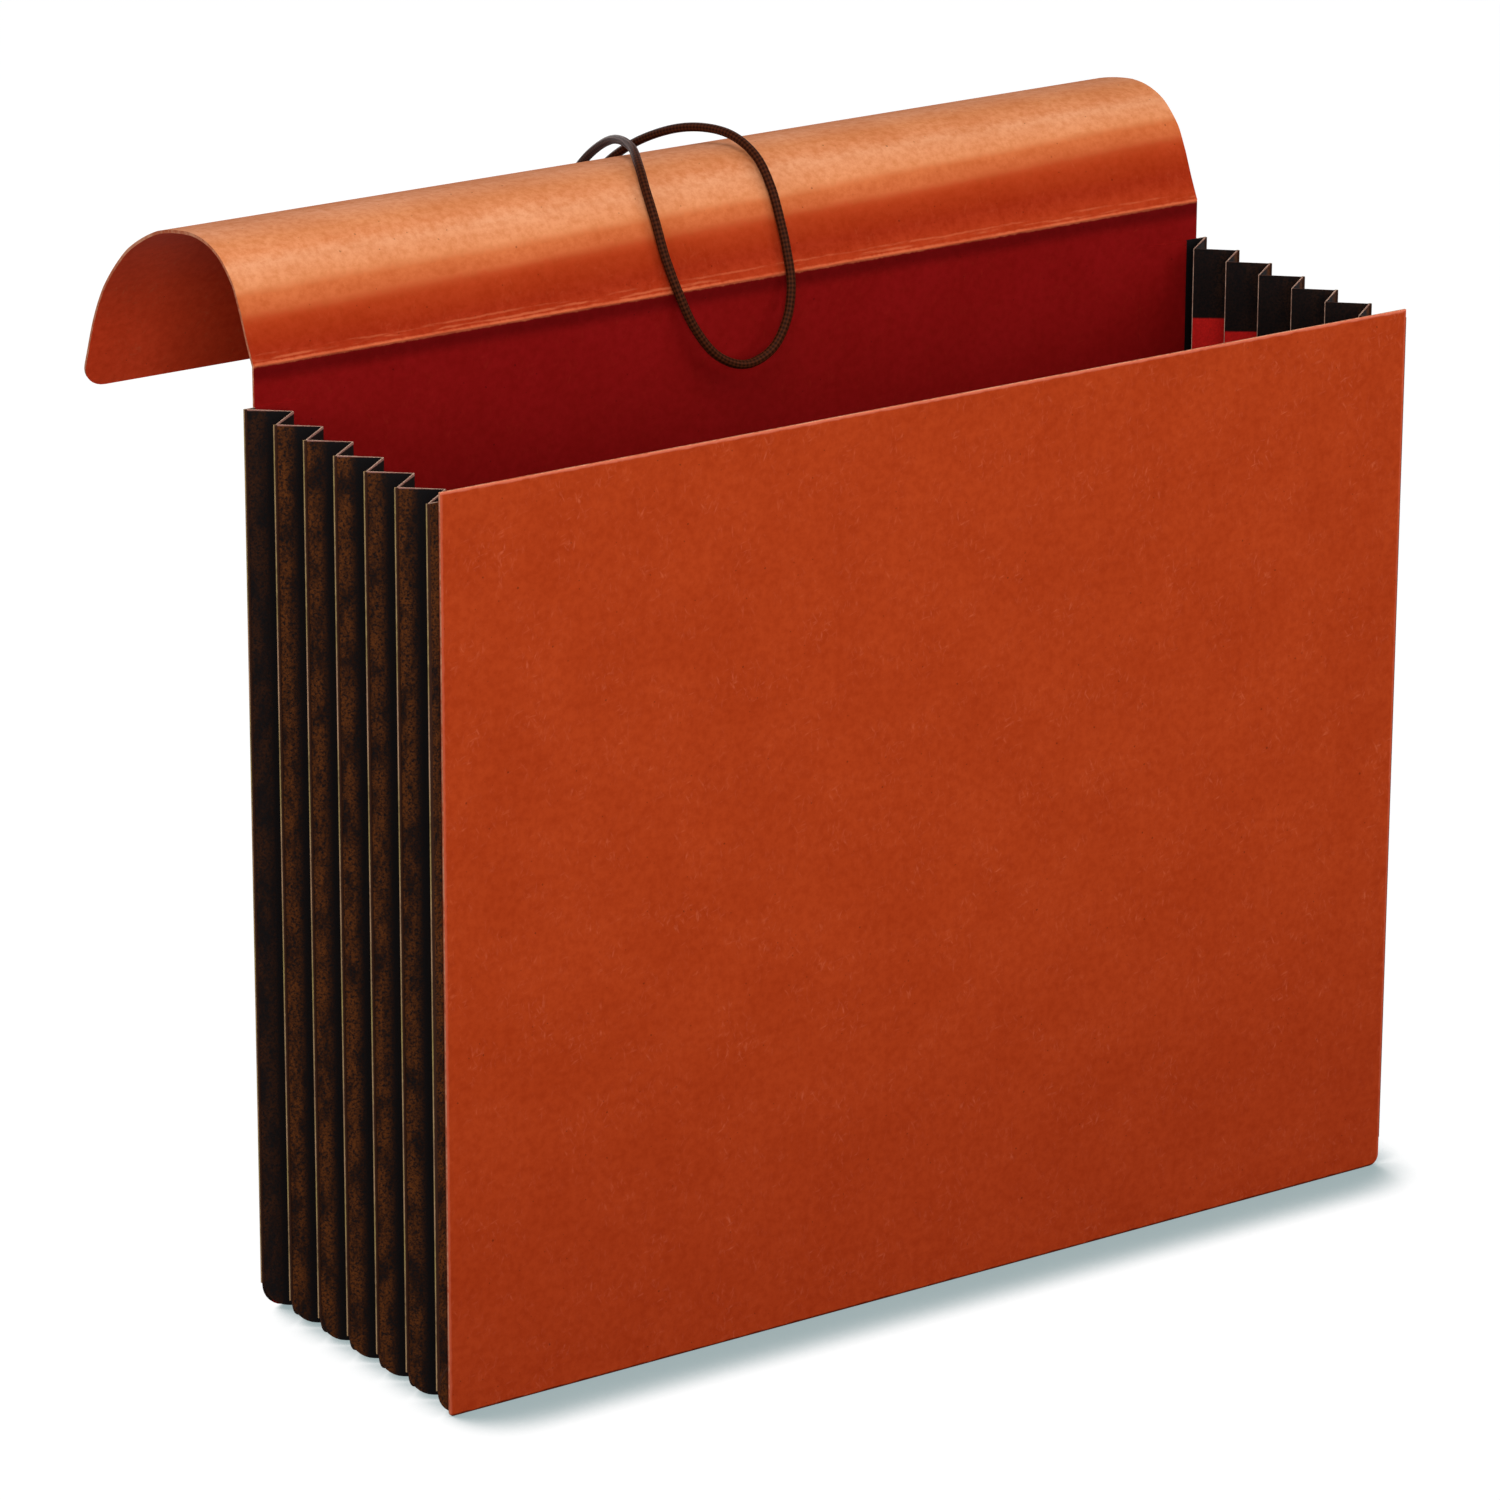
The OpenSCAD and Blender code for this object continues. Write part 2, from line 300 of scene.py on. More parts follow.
class Socket:
    """A shader value, on which Python's operators add Math nodes."""

    def __init__(self, nodes: "Nodes", link: Optional[bpy.types.NodeSocket]) -> None:
        """Wraps one output of a node."""
        self.nodes = nodes
        self.link = link

    def math(self, operation: str, first: "Value", second: "Value" = 0.0) -> "Socket":
        """Adds a Math node on two values."""
        return self.nodes.node("ShaderNodeMath", {"operation": operation}, {0: first, 1: second})

    def __add__(self, other: "Value") -> "Socket":
        """Sum of two values."""
        return self.math("ADD", self, other)

    __radd__ = __add__

    def __sub__(self, other: "Value") -> "Socket":
        """Difference of two values."""
        return self.math("SUBTRACT", self, other)

    def __rsub__(self, other: "Value") -> "Socket":
        """Difference, with this value taken away."""
        return self.math("SUBTRACT", other, self)

    def __mul__(self, other: "Value") -> "Socket":
        """Product of two values."""
        return self.math("MULTIPLY", self, other)

    __rmul__ = __mul__

    def __truediv__(self, other: "Value") -> "Socket":
        """Quotient of two values."""
        return self.math("DIVIDE", self, other)

    def __abs__(self) -> "Socket":
        """Size of the value without its sign."""
        return self.math("ABSOLUTE", self)

    def __or__(self, other: "Value") -> "Socket":
        """The greater of two values."""
        return self.math("MAXIMUM", self, other)

    def wave(self) -> "Socket":
        """Sine of the value, with a whole turn for 1."""
        return self.math("SINE", self * (2 * math.pi))

    def step(self, low: float, high: float) -> "Socket":
        """Smooth step of the value.

        Args:
            low: Value at which the step is 0.
            high: Value at which it is 1. It may be less than low.

        Returns:
            The step, from 0 to 1.
        """
        return self.nodes.node(
            "ShaderNodeMapRange",
            {"interpolation_type": "SMOOTHSTEP"},
            {"Value": self, "From Min": low, "From Max": high, "To Min": 0.0, "To Max": 1.0},
        )


Value = Union[Socket, float, int]


class Nodes:
    """A node tree, built up from nothing."""

    def __init__(self, tree: bpy.types.NodeTree) -> None:
        """Empties the tree."""
        self.tree = tree
        tree.nodes.clear()

    def feed(self, socket: bpy.types.NodeSocket, value: Any) -> None:
        """Links or sets one input.

        Args:
            socket: The input.
            value: A Socket to link, or a number, colour or vector to set.
        """
        if isinstance(value, Socket):
            self.tree.links.new(value.link, socket)
        elif isinstance(value, (int, float)):
            socket.default_value = value
        else:
            room = len(socket.default_value)
            socket.default_value = (tuple(value) + (1.0,))[:room]

    def node(
        self, kind: str, settings: Dict[str, Any], inputs: Dict[Any, Any], output: Union[int, str] = 0
    ) -> Socket:
        """Adds any node.

        Args:
            kind: The node's type.
            settings: Its own settings, which are set first. "stops" gives a ramp's places and colours.
            inputs: Values or links by the socket's name or number.
            output: The output that is returned.

        Returns:
            The chosen output.
        """
        made = self.tree.nodes.new(kind)
        for key, value in settings.items():
            if key == "stops":
                for place, colour in value[1:-1]:
                    made.color_ramp.elements.new(place).color = (*colour, 1.0)
                for element, (place, colour) in zip(made.color_ramp.elements, value):
                    element.position, element.color = place, (*colour, 1.0)
            else:
                setattr(made, key, value)
        for key, value in inputs.items():
            self.feed(made.inputs[key], value)
        return Socket(self, made.outputs[output] if len(made.outputs) else None)

    def mix(self, factor: Value, first: Any, second: Any, blend: str = "MIX") -> Socket:
        """Lays a second colour over the first, by a factor from 0 to 1."""
        settings = {"data_type": "RGBA", "blend_type": blend}
        return self.node("ShaderNodeMix", settings, {0: factor, 6: first, 7: second}, 2)

    def seen(self) -> Socket:
        """What is seen, as against light on its way.

        Returns:
            1 for what the camera sees, straight, by reflection or through glass, and 0 for the rest.
        """
        kinds = ("Camera", "Glossy", "Transmission")
        straight, glossy, through = (self.node("ShaderNodeLightPath", {}, {}, f"Is {k} Ray") for k in kinds)
        return straight | glossy | through


class Paint(Nodes):
    """One material with a surface shader."""

    def __init__(self, name: str) -> None:
        """Starts a material with nothing but its shader.

        Args:
            name: The material's name.
        """
        self.material = bpy.data.materials.new(name)
        self.material.use_nodes = True
        super().__init__(self.material.node_tree)
        shader = self.node("ShaderNodeBsdfPrincipled", {}, {})
        self.shader = shader.link.node
        self.node("ShaderNodeOutputMaterial", {}, {"Surface": shader})

    def coords(self, kind: Coordinates) -> Socket:
        """The pattern's coordinates.

        Args:
            kind: What the pattern follows.

        Returns:
            The coordinates, in metres.
        """
        if kind is Coordinates.SHEET:
            return self.node("ShaderNodeUVMap", {"uv_map": SHEET_MAP}, {}, "UV")
        return self.node("ShaderNodeTexCoord", {}, {}, "Object")

    def part(self, vector: Socket, axis: str) -> Socket:
        """One axis of a vector."""
        return self.node("ShaderNodeSeparateXYZ", {}, {0: vector}, axis)

    def noise(
        self,
        vector: Socket,
        scale: Union[float, Point],
        detail: float = 2.0,
        rough: float = 0.5,
        turn: float = 0.0,
    ) -> Socket:
        """Cloudy noise.

        Args:
            vector: Coordinates in metres.
            scale: Clouds to the metre, or the same for each axis.
            detail: Finer layers.
            rough: Weight of the finer layers.
            turn: Angle by which the coordinates are turned first.

        Returns:
            The noise, around 0.5.
        """
        if turn:
            vector = self.node("ShaderNodeMapping", {}, {"Vector": vector, "Rotation": (0.0, 0.0, turn)})
        if not isinstance(scale, float):
            vector = self.node("ShaderNodeMapping", {}, {"Vector": vector, "Scale": scale})
            scale = 1.0
        values = {"Vector": vector, "Scale": scale, "Detail": detail, "Roughness": rough}
        return self.node("ShaderNodeTexNoise", {}, values)

    def bump(self, height: Socket, depth: float, strength: float = 1.0) -> Socket:
        """A normal from a height.

        Args:
            height: The height, about 0 to 1.
            depth: The relief's depth in metres.
            strength: Share of the effect.

        Returns:
            The normal.
        """
        return self.node("ShaderNodeBump", {}, {"Strength": strength, "Distance": depth, "Height": height})

    def surface(self, colour: Any, roughness: Value, **others: Any) -> bpy.types.Material:
        """Sets the shader's inputs.

        Args:
            colour: The base colour.
            roughness: The roughness.
            others: Other inputs by name, with _ for a space.

        Returns:
            The finished material.
        """
        self.feed(self.shader.inputs["Base Color"], colour)
        self.feed(self.shader.inputs["Roughness"], roughness)
        for key, value in others.items():
            self.feed(self.shader.inputs[key.replace("_", " ")], value)
        return self.material


@dataclass(frozen=True)
class FibrePaper:
    """Stiff dyed paper pressed from fibres: a fine mottle, pale fibres in tufts and a few dark flecks.

    The sheet map's Y is the height from the crease. strand is how many fibres lie in a metre of each axis.
    rim gives the half width and the top along which the paper is paler, and the foot, with painted shade over the
    lower part and a painted shadow line along the foot. worn is the colour of the lines at the crease, on paper that
    has them, with a painted shadow below it. rolled gives the tones, by height, of painted highlight and painted shade
    in bands on the flap.
    """

    name: str
    colour: Colour
    fibre: Colour
    fibres: float = 0.75
    roughness: float = 0.6
    gloss: float = 0.05
    shade: Colour = (0.85, 0.72, 0.6)
    strand: Point = (950.0, 240.0, 1.0)
    rim: Optional[Tuple[float, float, float]] = None
    worn: Optional[Colour] = None
    # Painted highlight and painted shade: tones in bands, by height, on the flap.
    rolled: Tuple[Tuple[float, Colour], ...] = ()

    def painted_light_bands(self, paint: Paint, place: Socket, mottle: Socket) -> Socket:
        """Painted highlight and painted shade in bands across the flap, which wander and slant a little.

        Args:
            paint: The material.
            place: Coordinates on the sheet.
            mottle: The paper's mottle, which frays the bands.

        Returns:
            The colour.
        """
        end = self.rolled[-1][0]
        stops = tuple((line / end, tone) for line, tone in self.rolled)
        wander = (paint.noise(place, (9.0, 70.0, 1.0), 3.0, 0.6) - 0.5) * 0.004 + (mottle - 0.5) * 0.003
        slant = paint.part(place, "X") * 0.016
        height = paint.part(place, "Y") + wander - slant
        return paint.node("ShaderNodeValToRGB", {"stops": stops}, {"Fac": height / end})

    def pale_rim_and_painted_shade(self, paint: Paint, place: Socket, clouds: Socket, colour: Socket) -> Socket:
        """Makes the sides and the top paler, darkens the lower part with painted shade and paints a shadow line along
        the foot.

        Args:
            paint: The material.
            place: Coordinates on the sheet.
            clouds: The paper's clouds, which blur the shade.
            colour: The paper's colour.

        Returns:
            The colour with its rim.
        """
        half_w, top_at, foot_at = self.rim
        across, height = paint.part(place, "X"), paint.part(place, "Y")
        fray = (paint.noise(place, 260.0, 3.0) - 0.5) * 0.0007
        side = (half_w - abs(across) + fray).step(0.0009, 0.0003)
        top = (top_at - height + fray).step(0.0009, 0.0003)
        # Painted shadow: a dark line along the foot.
        foot = (height - foot_at + fray).step(0.0007, 0.0003)
        # Painted shade: darker down the lower part, towards the foot.
        low = (height - foot_at + (clouds - 0.5) * 0.04).step(0.12, 0.0)
        rubbed = tuple(min(1.0, 1.3 * c + 0.06) for c in self.fibre)
        colour = paint.mix(low * 0.45, colour, (0.75, 0.6, 0.7), "MULTIPLY")
        colour = paint.mix(side * 0.25 | top * 0.65, colour, rubbed)
        return paint.mix(foot * 0.9, colour, (0.15, 0.12, 0.15), "MULTIPLY")

    def wear_crease(self, paint: Paint, place: Socket, colour: Socket) -> Socket:
        """Paints a shadow below the crease, and wears a ridge and two broken lines along it.

        Args:
            paint: The material.
            place: Coordinates on the sheet.
            colour: The paper's colour.

        Returns:
            The colour with its crease.
        """
        second_at, third_at, crease_shadow_at = 0.0012, 0.0024, -0.0018
        height = paint.part(place, "Y")
        drift = (paint.noise(place, (22.0, 0.0, 0.0), 4.0, 0.65) - 0.5) * 0.0026
        ragged = (paint.noise(place, (330.0, 0.0, 0.0), 3.0, 0.7) - 0.5) * 0.0007
        broken = paint.noise(place, (34.0, 240.0, 1.0), 4.0, 0.7)
        ridge = abs(height + ragged * 1.6).step(0.0007, 0.0001) * (broken.step(0.34, 0.58) * 0.6 + 0.4)
        second = abs(height - second_at - drift - ragged).step(0.0005, 0.0001) * broken.step(0.46, 0.6)
        third = abs(height - third_at + drift - ragged).step(0.0004, 0.0001) * broken.step(0.56, 0.44)
        # Painted shadow: a dark band just below the crease.
        pressed = abs(height - crease_shadow_at + ragged).step(0.0042, 0.0003) * height.step(0.0, -0.0004)
        colour = paint.mix(pressed * 0.85, colour, (0.5, 0.38, 0.45), "MULTIPLY")
        return paint.mix(ridge * 0.65 | second * 0.45 | third * 0.3, colour, self.worn)

    def make(self) -> bpy.types.Material:
        """Builds the material.

        Returns:
            The finished material.
        """
        paint = Paint(self.name)
        place = paint.coords(Coordinates.SHEET)
        clouds = paint.noise(place, 40.0, 4.0, 0.65)
        mottle = paint.noise(place, 420.0, 4.0, 0.7)
        strands = paint.noise(place, self.strand, 2.0, 0.6)
        for turn in (0.45, -0.5, 1.3):
            strands = strands | paint.noise(place, self.strand, 2.0, 0.6, turn)
        tufts = paint.noise(place, 85.0, 4.0, 0.65).step(0.38, 0.7)
        flecks = paint.noise(place, 900.0, 0.0).step(0.83, 0.87)
        # On the flap the dye gives way to the painted highlight and painted shade in bands.
        dye = self.painted_light_bands(paint, place, mottle) if self.rolled else self.colour
        colour = paint.mix(mottle.step(0.32, 0.72), dye, self.shade, "MULTIPLY")
        colour = paint.mix(clouds.step(0.3, 0.7) * 0.6, colour, self.shade, "MULTIPLY")
        colour = paint.mix(strands.step(0.58, 0.82) * (tufts * self.fibres), colour, self.fibre)
        colour = paint.mix(flecks * 0.6, colour, (0.3, 0.3, 0.3), "MULTIPLY")
        if self.rim:
            colour = self.pale_rim_and_painted_shade(paint, place, clouds, colour)
        if self.worn:
            colour = self.wear_crease(paint, place, colour)
        relief = mottle * 0.5 + strands * 0.5
        roughness = relief * 0.16 + (self.roughness - 0.08)
        normal = paint.bump(relief, 0.0001, 0.5)
        return paint.surface(colour, roughness, Normal=normal, Specular_IOR_Level=self.gloss)


@dataclass(frozen=True)
class GussetPaper:
    """Tough dark paper with a suede-like nap, lighter by its outer folds and black, as painted shade, in its valleys.

    The sheet map's X is the way in from the outer fold, and its Y the way down from the top. The nap is lighter
    by the outer fold, partly worn and partly painted light. The top edge is pale, partly its cut core and partly
    painted highlight, but for the front leaf of each pleat on the right. The rearmost pleat is darkened as painted
    shade. A lining covers the inside from hem down to foot.
    """

    name: str
    nap: Colour
    rubbed: Colour
    black: Colour
    pale: Colour
    lining: Optional[Colour] = None
    hem: float = 0.019
    foot: float = 0.234
    blur: float = 0.0005

    def make(self) -> bpy.types.Material:
        """Builds the material.

        Returns:
            The finished material.
        """
        paint = Paint(self.name)
        sheet, place = paint.coords(Coordinates.SHEET), paint.coords(Coordinates.OBJECT)
        inward, down = paint.part(sheet, "X"), paint.part(sheet, "Y")
        hairs = paint.noise(place, 1500.0, 4.0, 0.7)
        patches = paint.noise(place, (240.0, 240.0, 110.0), 4.0, 0.65)
        colour = paint.mix(hairs.step(0.36, 0.66), self.black, self.nap)
        # Painted light: the lighter nap gathers by the outer fold, over real wear there.
        worn = inward.step(0.0085, 0.0005) * 0.85 + 0.15
        colour = paint.mix(patches.step(0.34, 0.62) * hairs.step(0.34, 0.62) * worn, colour, self.rubbed)
        if self.lining is None:
            # Painted shade: black from a few millimetres in from each outer fold, and over the rearmost pleat.
            ragged = (patches - 0.5) * 0.002
            rear = paint.part(place, "Y").step(-0.013, -0.004)
            colour = paint.mix((inward + ragged).step(0.002, 0.005) * 0.95 | rear * 0.7, colour, self.black)
        else:
            wave = (paint.noise(sheet, (60.0, 0.0, 0.0)) - 0.5) * 0.0012
            under = (down + wave).step(self.hem - 0.0003, self.hem + 0.0003)
            under = under * down.step(self.foot + self.blur, self.foot - self.blur)
            red = paint.mix(hairs.step(0.3, 0.75), tuple(0.7 * c for c in self.lining), self.lining)
            colour = paint.mix(under, colour, red)
        # The pale top edge is partly cut core and partly painted highlight, left off the right side's front leaves.
        pleat = (paint.part(place, "Y") - SIZES.fold_y(0)) / -SIZES.pitch
        bare = paint.part(place, "X").step(0.02, -0.02) | pleat.wave().step(0.0, 0.2)
        rim = (abs(down) + (hairs - 0.5) * 0.0003).step(0.00045, 0.0002)
        colour = paint.mix(rim * bare, colour, self.pale)
        normal = paint.bump(hairs, 0.00015, 0.5)
        return paint.surface(colour, hairs * 0.15 + 0.7, Normal=normal, Specular_IOR_Level=0.05)


@dataclass(frozen=True)
class WornFold:
    """The gusset's outer fold, rubbed to a pale thread along its crest.

    The sheet map's X is the way along the fold, and its Y the way round it, with 0.5 at the crest.
    """

    name: str
    dark: Colour
    pale: Colour

    def make(self) -> bpy.types.Material:
        """Builds the material.

        Returns:
            The finished material.
        """
        paint = Paint(self.name)
        place = paint.coords(Coordinates.SHEET)
        ragged = (paint.noise(place, (700.0, 0.0, 0.0), 3.0, 0.7) - 0.5) * 0.09
        thin = paint.noise(place, (70.0, 0.0, 0.0), 5.0, 0.75)
        crest = (abs(paint.part(place, "Y") - 0.5) + ragged).step(0.13, 0.04)
        tint = paint.noise(place, (38.0, 0.0, 1.0), 3.0)
        red, green, blue = self.pale
        pale = paint.mix(tint.step(0.35, 0.65), self.pale, (0.8 * red, green, 0.6 * blue))
        colour = paint.mix(crest * (thin.step(0.28, 0.6) * 0.7 + 0.3), self.dark, pale)
        return paint.surface(colour, 0.8, Normal=paint.bump(thin, 0.0001, 0.4), Specular_IOR_Level=0.08)


@dataclass(frozen=True)
class CutEdge:
    """The cut edge of a sheet, where the undyed core shows in streaks."""

    name: str
    core: Colour
    dye: Colour

    def make(self) -> bpy.types.Material:
        """Builds the material.

        Returns:
            The finished material.
        """
        paint = Paint(self.name)
        place = paint.coords(Coordinates.OBJECT)
        streaks = paint.noise(place, 700.0, 4.0, 0.7)
        patches = paint.noise(place, 60.0, 3.0)
        colour = paint.mix((streaks * 0.6 + patches * 0.4).step(0.36, 0.62), self.dye, self.core)
        return paint.surface(colour, 0.8, Normal=paint.bump(streaks, 0.0001, 0.6), Specular_IOR_Level=0.1)


@dataclass(frozen=True)
class BraidedElastic:
    """Round elastic cord in a fine woven cover. The sheet map's X runs along it, and its Y once round it."""

    name: str
    dark: Colour
    light: Colour
    strands: int = 8
    lay: float = 0.0024

    def make(self) -> bpy.types.Material:
        """Builds the material.

        Returns:
            The finished material.
        """
        paint = Paint(self.name)
        place = paint.coords(Coordinates.SHEET)
        along = paint.part(place, "X") / self.lay
        spiral = paint.part(place, "Y") * (self.strands / 2)
        weave = (along + spiral).wave() * (along - spiral).wave() * 0.5 + 0.5
        fuzz = paint.noise(place, (2500.0, 14.0, 1.0), 3.0, 0.7)
        tone = weave * 0.6 + fuzz * 0.4
        colour = paint.mix(tone.step(0.25, 0.75), self.dark, self.light)
        normal = paint.bump(tone, 0.0002, 0.6)
        return paint.surface(colour, 0.5 - tone * 0.14, Normal=normal, Specular_IOR_Level=0.02)


@dataclass(frozen=True)
class PlatedMetal:
    """Thin plated metal, dulled by handling."""

    name: str
    bright: Colour
    dull: Colour

    def make(self) -> bpy.types.Material:
        """Builds the material.

        Returns:
            The finished material.
        """
        paint = Paint(self.name)
        place = paint.coords(Coordinates.OBJECT)
        tarnish = paint.noise(place, 500.0, 4.0, 0.65)
        scratches = paint.noise(place, (400.0, 6000.0, 2000.0))
        colour = paint.mix(tarnish.step(0.4, 0.7), self.bright, self.dull)
        roughness = tarnish * 0.25 + scratches * 0.1 + 0.2
        return paint.surface(colour, roughness, Metallic=1.0, Normal=paint.bump(scratches, 0.00003, 0.3))


@dataclass(frozen=True)
class StudioFloor:
    """A floor that is seen as white, but for the object's shadow, which is deepest at its front.

    shade is its colour to light on its way, and seen, glow and contact are its colour, its glow and its glow
    in the deepest shadow where it is seen. The shadow is what the object hides within reach, the way of lean.
    """

    name: str = "studio_floor"
    shade: Colour = (0.12, 0.12, 0.12)
    seen: Colour = (0.05, 0.05, 0.05)
    glow: Colour = (0.99, 0.99, 0.99)
    contact: Colour = (0.3, 0.385, 0.395)
    lean: Point = (-0.35, 0.75, 0.56)
    reach: float = 0.027

    def make(self) -> bpy.types.Material:
        """Builds the material.

        Returns:
            The finished material.
        """
        paint = Paint(self.name)
        colour = paint.mix(paint.seen(), self.shade, self.seen)
        lean = paint.node("ShaderNodeCombineXYZ", {}, dict(zip("XYZ", self.lean)))
        values = {"Distance": self.reach, "Normal": lean}
        bare = paint.node("ShaderNodeAmbientOcclusion", {"samples": 24}, values, "AO")
        glow = paint.mix(bare.step(0.45, 0.85), self.contact, self.glow)
        glow = paint.mix(paint.seen(), (0.0, 0.0, 0.0), glow)
        return paint.surface(colour, 0.9, Specular_IOR_Level=0.0, Emission_Color=glow, Emission_Strength=1.0)


class Workpiece:
    """A mesh on the bench, shaped with the modelling operators."""

    def __init__(self, obj: bpy.types.Object, name: str) -> None:
        """Takes an object to work on and names it."""
        obj.name = obj.data.name = name
        self.obj = obj

    @classmethod
    def plane(
        cls, name: str, width: float, height: float, middle: Point, turn: Point = (0.0, 0.0, 0.0)
    ) -> "Workpiece":
        """A flat rectangle.

        Args:
            name: The piece's name.
            width: Size along X.
            height: Size along Y, before the turn.
            middle: Its centre.
            turn: Its turn about each axis.

        Returns:
            The piece.
        """
        bpy.ops.object.select_all(action="DESELECT")
        bpy.ops.mesh.primitive_plane_add(size=1.0, location=middle, rotation=turn)
        piece = cls(bpy.context.object, name)
        piece.obj.scale = (width, height, 1.0)
        bpy.ops.object.transform_apply(location=True, rotation=True, scale=True)
        return piece

    @classmethod
    def disc(cls, name: str, radius: float, sides: int, middle: Point) -> "Workpiece":
        """A filled flat circle.

        Args:
            name: The piece's name.
            radius: Its radius.
            sides: Number of corners.
            middle: Its centre.

        Returns:
            The piece.
        """
        bpy.ops.object.select_all(action="DESELECT")
        bpy.ops.mesh.primitive_circle_add(vertices=sides, radius=radius, fill_type="NGON", location=middle)
        piece = cls(bpy.context.object, name)
        bpy.ops.object.transform_apply(location=True, rotation=True, scale=True)
        return piece

    @classmethod
    def from_mesh(cls, name: str, mesh: bpy.types.Mesh) -> "Workpiece":
        """A piece from a mesh that is already made.

        Args:
            name: The piece's name.
            mesh: The mesh.

        Returns:
            The piece.
        """
        obj = bpy.data.objects.new(name, mesh)
        bpy.context.scene.collection.objects.link(obj)
        return cls(obj, name)

    def copy(self, name: str) -> "Workpiece":
        """A copy with its own mesh."""
        return Workpiece.from_mesh(name, self.obj.data.copy())

    def discard(self) -> None:
        """Clears a pattern piece from the bench."""
        bpy.data.meshes.remove(self.obj.data)

    def take(self) -> None:
        """Selects this piece alone."""
        bpy.ops.object.select_all(action="DESELECT")
        self.obj.select_set(True)
        bpy.context.view_layer.objects.active = self.obj

    def edit(self, kind: str = "VERT") -> None:
        """Opens the mesh with nothing selected.

        Args:
            kind: What is picked: VERT, EDGE or FACE.
        """
        self.take()
        bpy.ops.object.mode_set(mode="EDIT")
        bpy.ops.mesh.select_mode(type=kind)
        bpy.ops.mesh.select_all(action="DESELECT")

    @staticmethod
    def close() -> None:
        """Leaves the mesh."""
        bpy.ops.object.mode_set(mode="OBJECT")

    def pick(self, test: Callable[[Vector], bool], kind: str = "verts") -> None:
        """Selects what passes a test, in the open mesh.

        Args:
            test: Takes a vertex's place, or the middle of an edge or face.
            kind: verts, edges or faces.
        """
        mesh = bmesh.from_edit_mesh(self.obj.data)
        for item in getattr(mesh, kind):
            corners = [item] if kind == "verts" else item.verts
            item.select_set(test(sum((v.co for v in corners), Vector()) / len(corners)))
        mesh.select_flush_mode()
        bmesh.update_edit_mesh(self.obj.data)

    @staticmethod
    def extrude(step: Sequence[float]) -> None:
        """Extrudes what is selected by a step and leaves the new end selected."""
        bpy.ops.mesh.extrude_region_move(TRANSFORM_OT_translate={"value": tuple(step)})

    @staticmethod
    def cut(point: Point, normal: Point, trim: bool = False) -> None:
        """Cuts the open mesh along a plane.

        Args:
            point: A point of the plane.
            normal: Its normal.
            trim: Whether what lies past the plane is taken off and the cut closed.
        """
        bpy.ops.mesh.select_all(action="SELECT")
        bpy.ops.mesh.bisect(plane_co=point, plane_no=normal, clear_outer=trim, use_fill=trim)

    def place(self, matrix: Matrix) -> "Workpiece":
        """Moves the mesh, while its object stays at the origin."""
        self.obj.data.transform(matrix)
        return self

    def modify(self, kind: str, **settings: Any) -> "Workpiece":
        """Adds a modifier and applies it.

        Args:
            kind: The modifier's type.
            settings: Its settings.

        Returns:
            The piece.
        """
        modifier = self.obj.modifiers.new(kind.lower(), kind)
        for key, value in settings.items():
            setattr(modifier, key, value)
        self.take()
        bpy.ops.object.modifier_apply(modifier=modifier.name)
        return self

    def thicken(self, thickness: float) -> "Workpiece":
        """Gives the sheet a thickness, half to each side."""
        return self.modify("SOLIDIFY", thickness=thickness, offset=0.0, use_even_offset=True, use_rim=True)

    def soften(self, width: float) -> "Workpiece":
        """Rounds the sharp edges a little."""
        limit = math.radians(50)
        return self.modify("BEVEL", width=width, segments=2, limit_method="ANGLE", angle_limit=limit)

    def tidy(self) -> "Workpiece":
        """Merges doubles and turns all faces outwards.

        Returns:
            The piece.
        """
        self.edit()
        bpy.ops.mesh.select_all(action="SELECT")
        bpy.ops.mesh.remove_doubles(threshold=1e-7)
        bpy.ops.mesh.normals_make_consistent(inside=False)
        self.close()
        return self

    def smooth(self, degrees: float = 35.0) -> "Workpiece":
        """Shades the piece smooth.

        Args:
            degrees: Angle past which an edge stays sharp.

        Returns:
            The piece.
        """
        self.take()
        bpy.ops.object.shade_smooth_by_angle(angle=math.radians(degrees))
        return self

    def map_sheet(self, where: Callable[[Vector], Tuple[float, float]]) -> "Workpiece":
        """Gives the mesh its sheet map.

        Args:
            where: Takes a vertex's place and gives its place on the sheet, in metres.

        Returns:
            The piece.
        """
        mesh = self.obj.data
        layer = mesh.uv_layers.get(SHEET_MAP) or mesh.uv_layers.new(name=SHEET_MAP)
        places = [where(v.co) for v in mesh.vertices]
        for loop in mesh.loops:
            layer.data[loop.index].uv = places[loop.vertex_index]
        return self

    def dress(
        self,
        materials: Sequence[bpy.types.Material],
        choose: Callable[[Vector, Vector], int] = lambda middle, normal: 0,
    ) -> "Workpiece":
        """Gives the faces their materials.

        Args:
            materials: The materials.
            choose: Takes a face's middle and normal and gives the number of its material.

        Returns:
            The piece.
        """
        self.obj.data.materials.clear()
        for material in materials:
            self.obj.data.materials.append(material)
        for face in self.obj.data.polygons:
            face.material_index = choose(face.center, face.normal)
        return self

    def join_frame(self, body: str, nodes: Sequence[str], slot: str) -> "Workpiece":
        """Sets the piece on a body of the frame.

        Args:
            body: The body that it moves with.
            nodes: The solids that it stands for.
            slot: The record's material slot.

        Returns:
            The piece.
        """
        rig.ride(self.obj, body)
        if nodes:
            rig.replaces(self.obj, *nodes)
        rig.slot(self.obj, slot)
        LOG.info("%s rides on %s", self.obj.name, body)
        return self


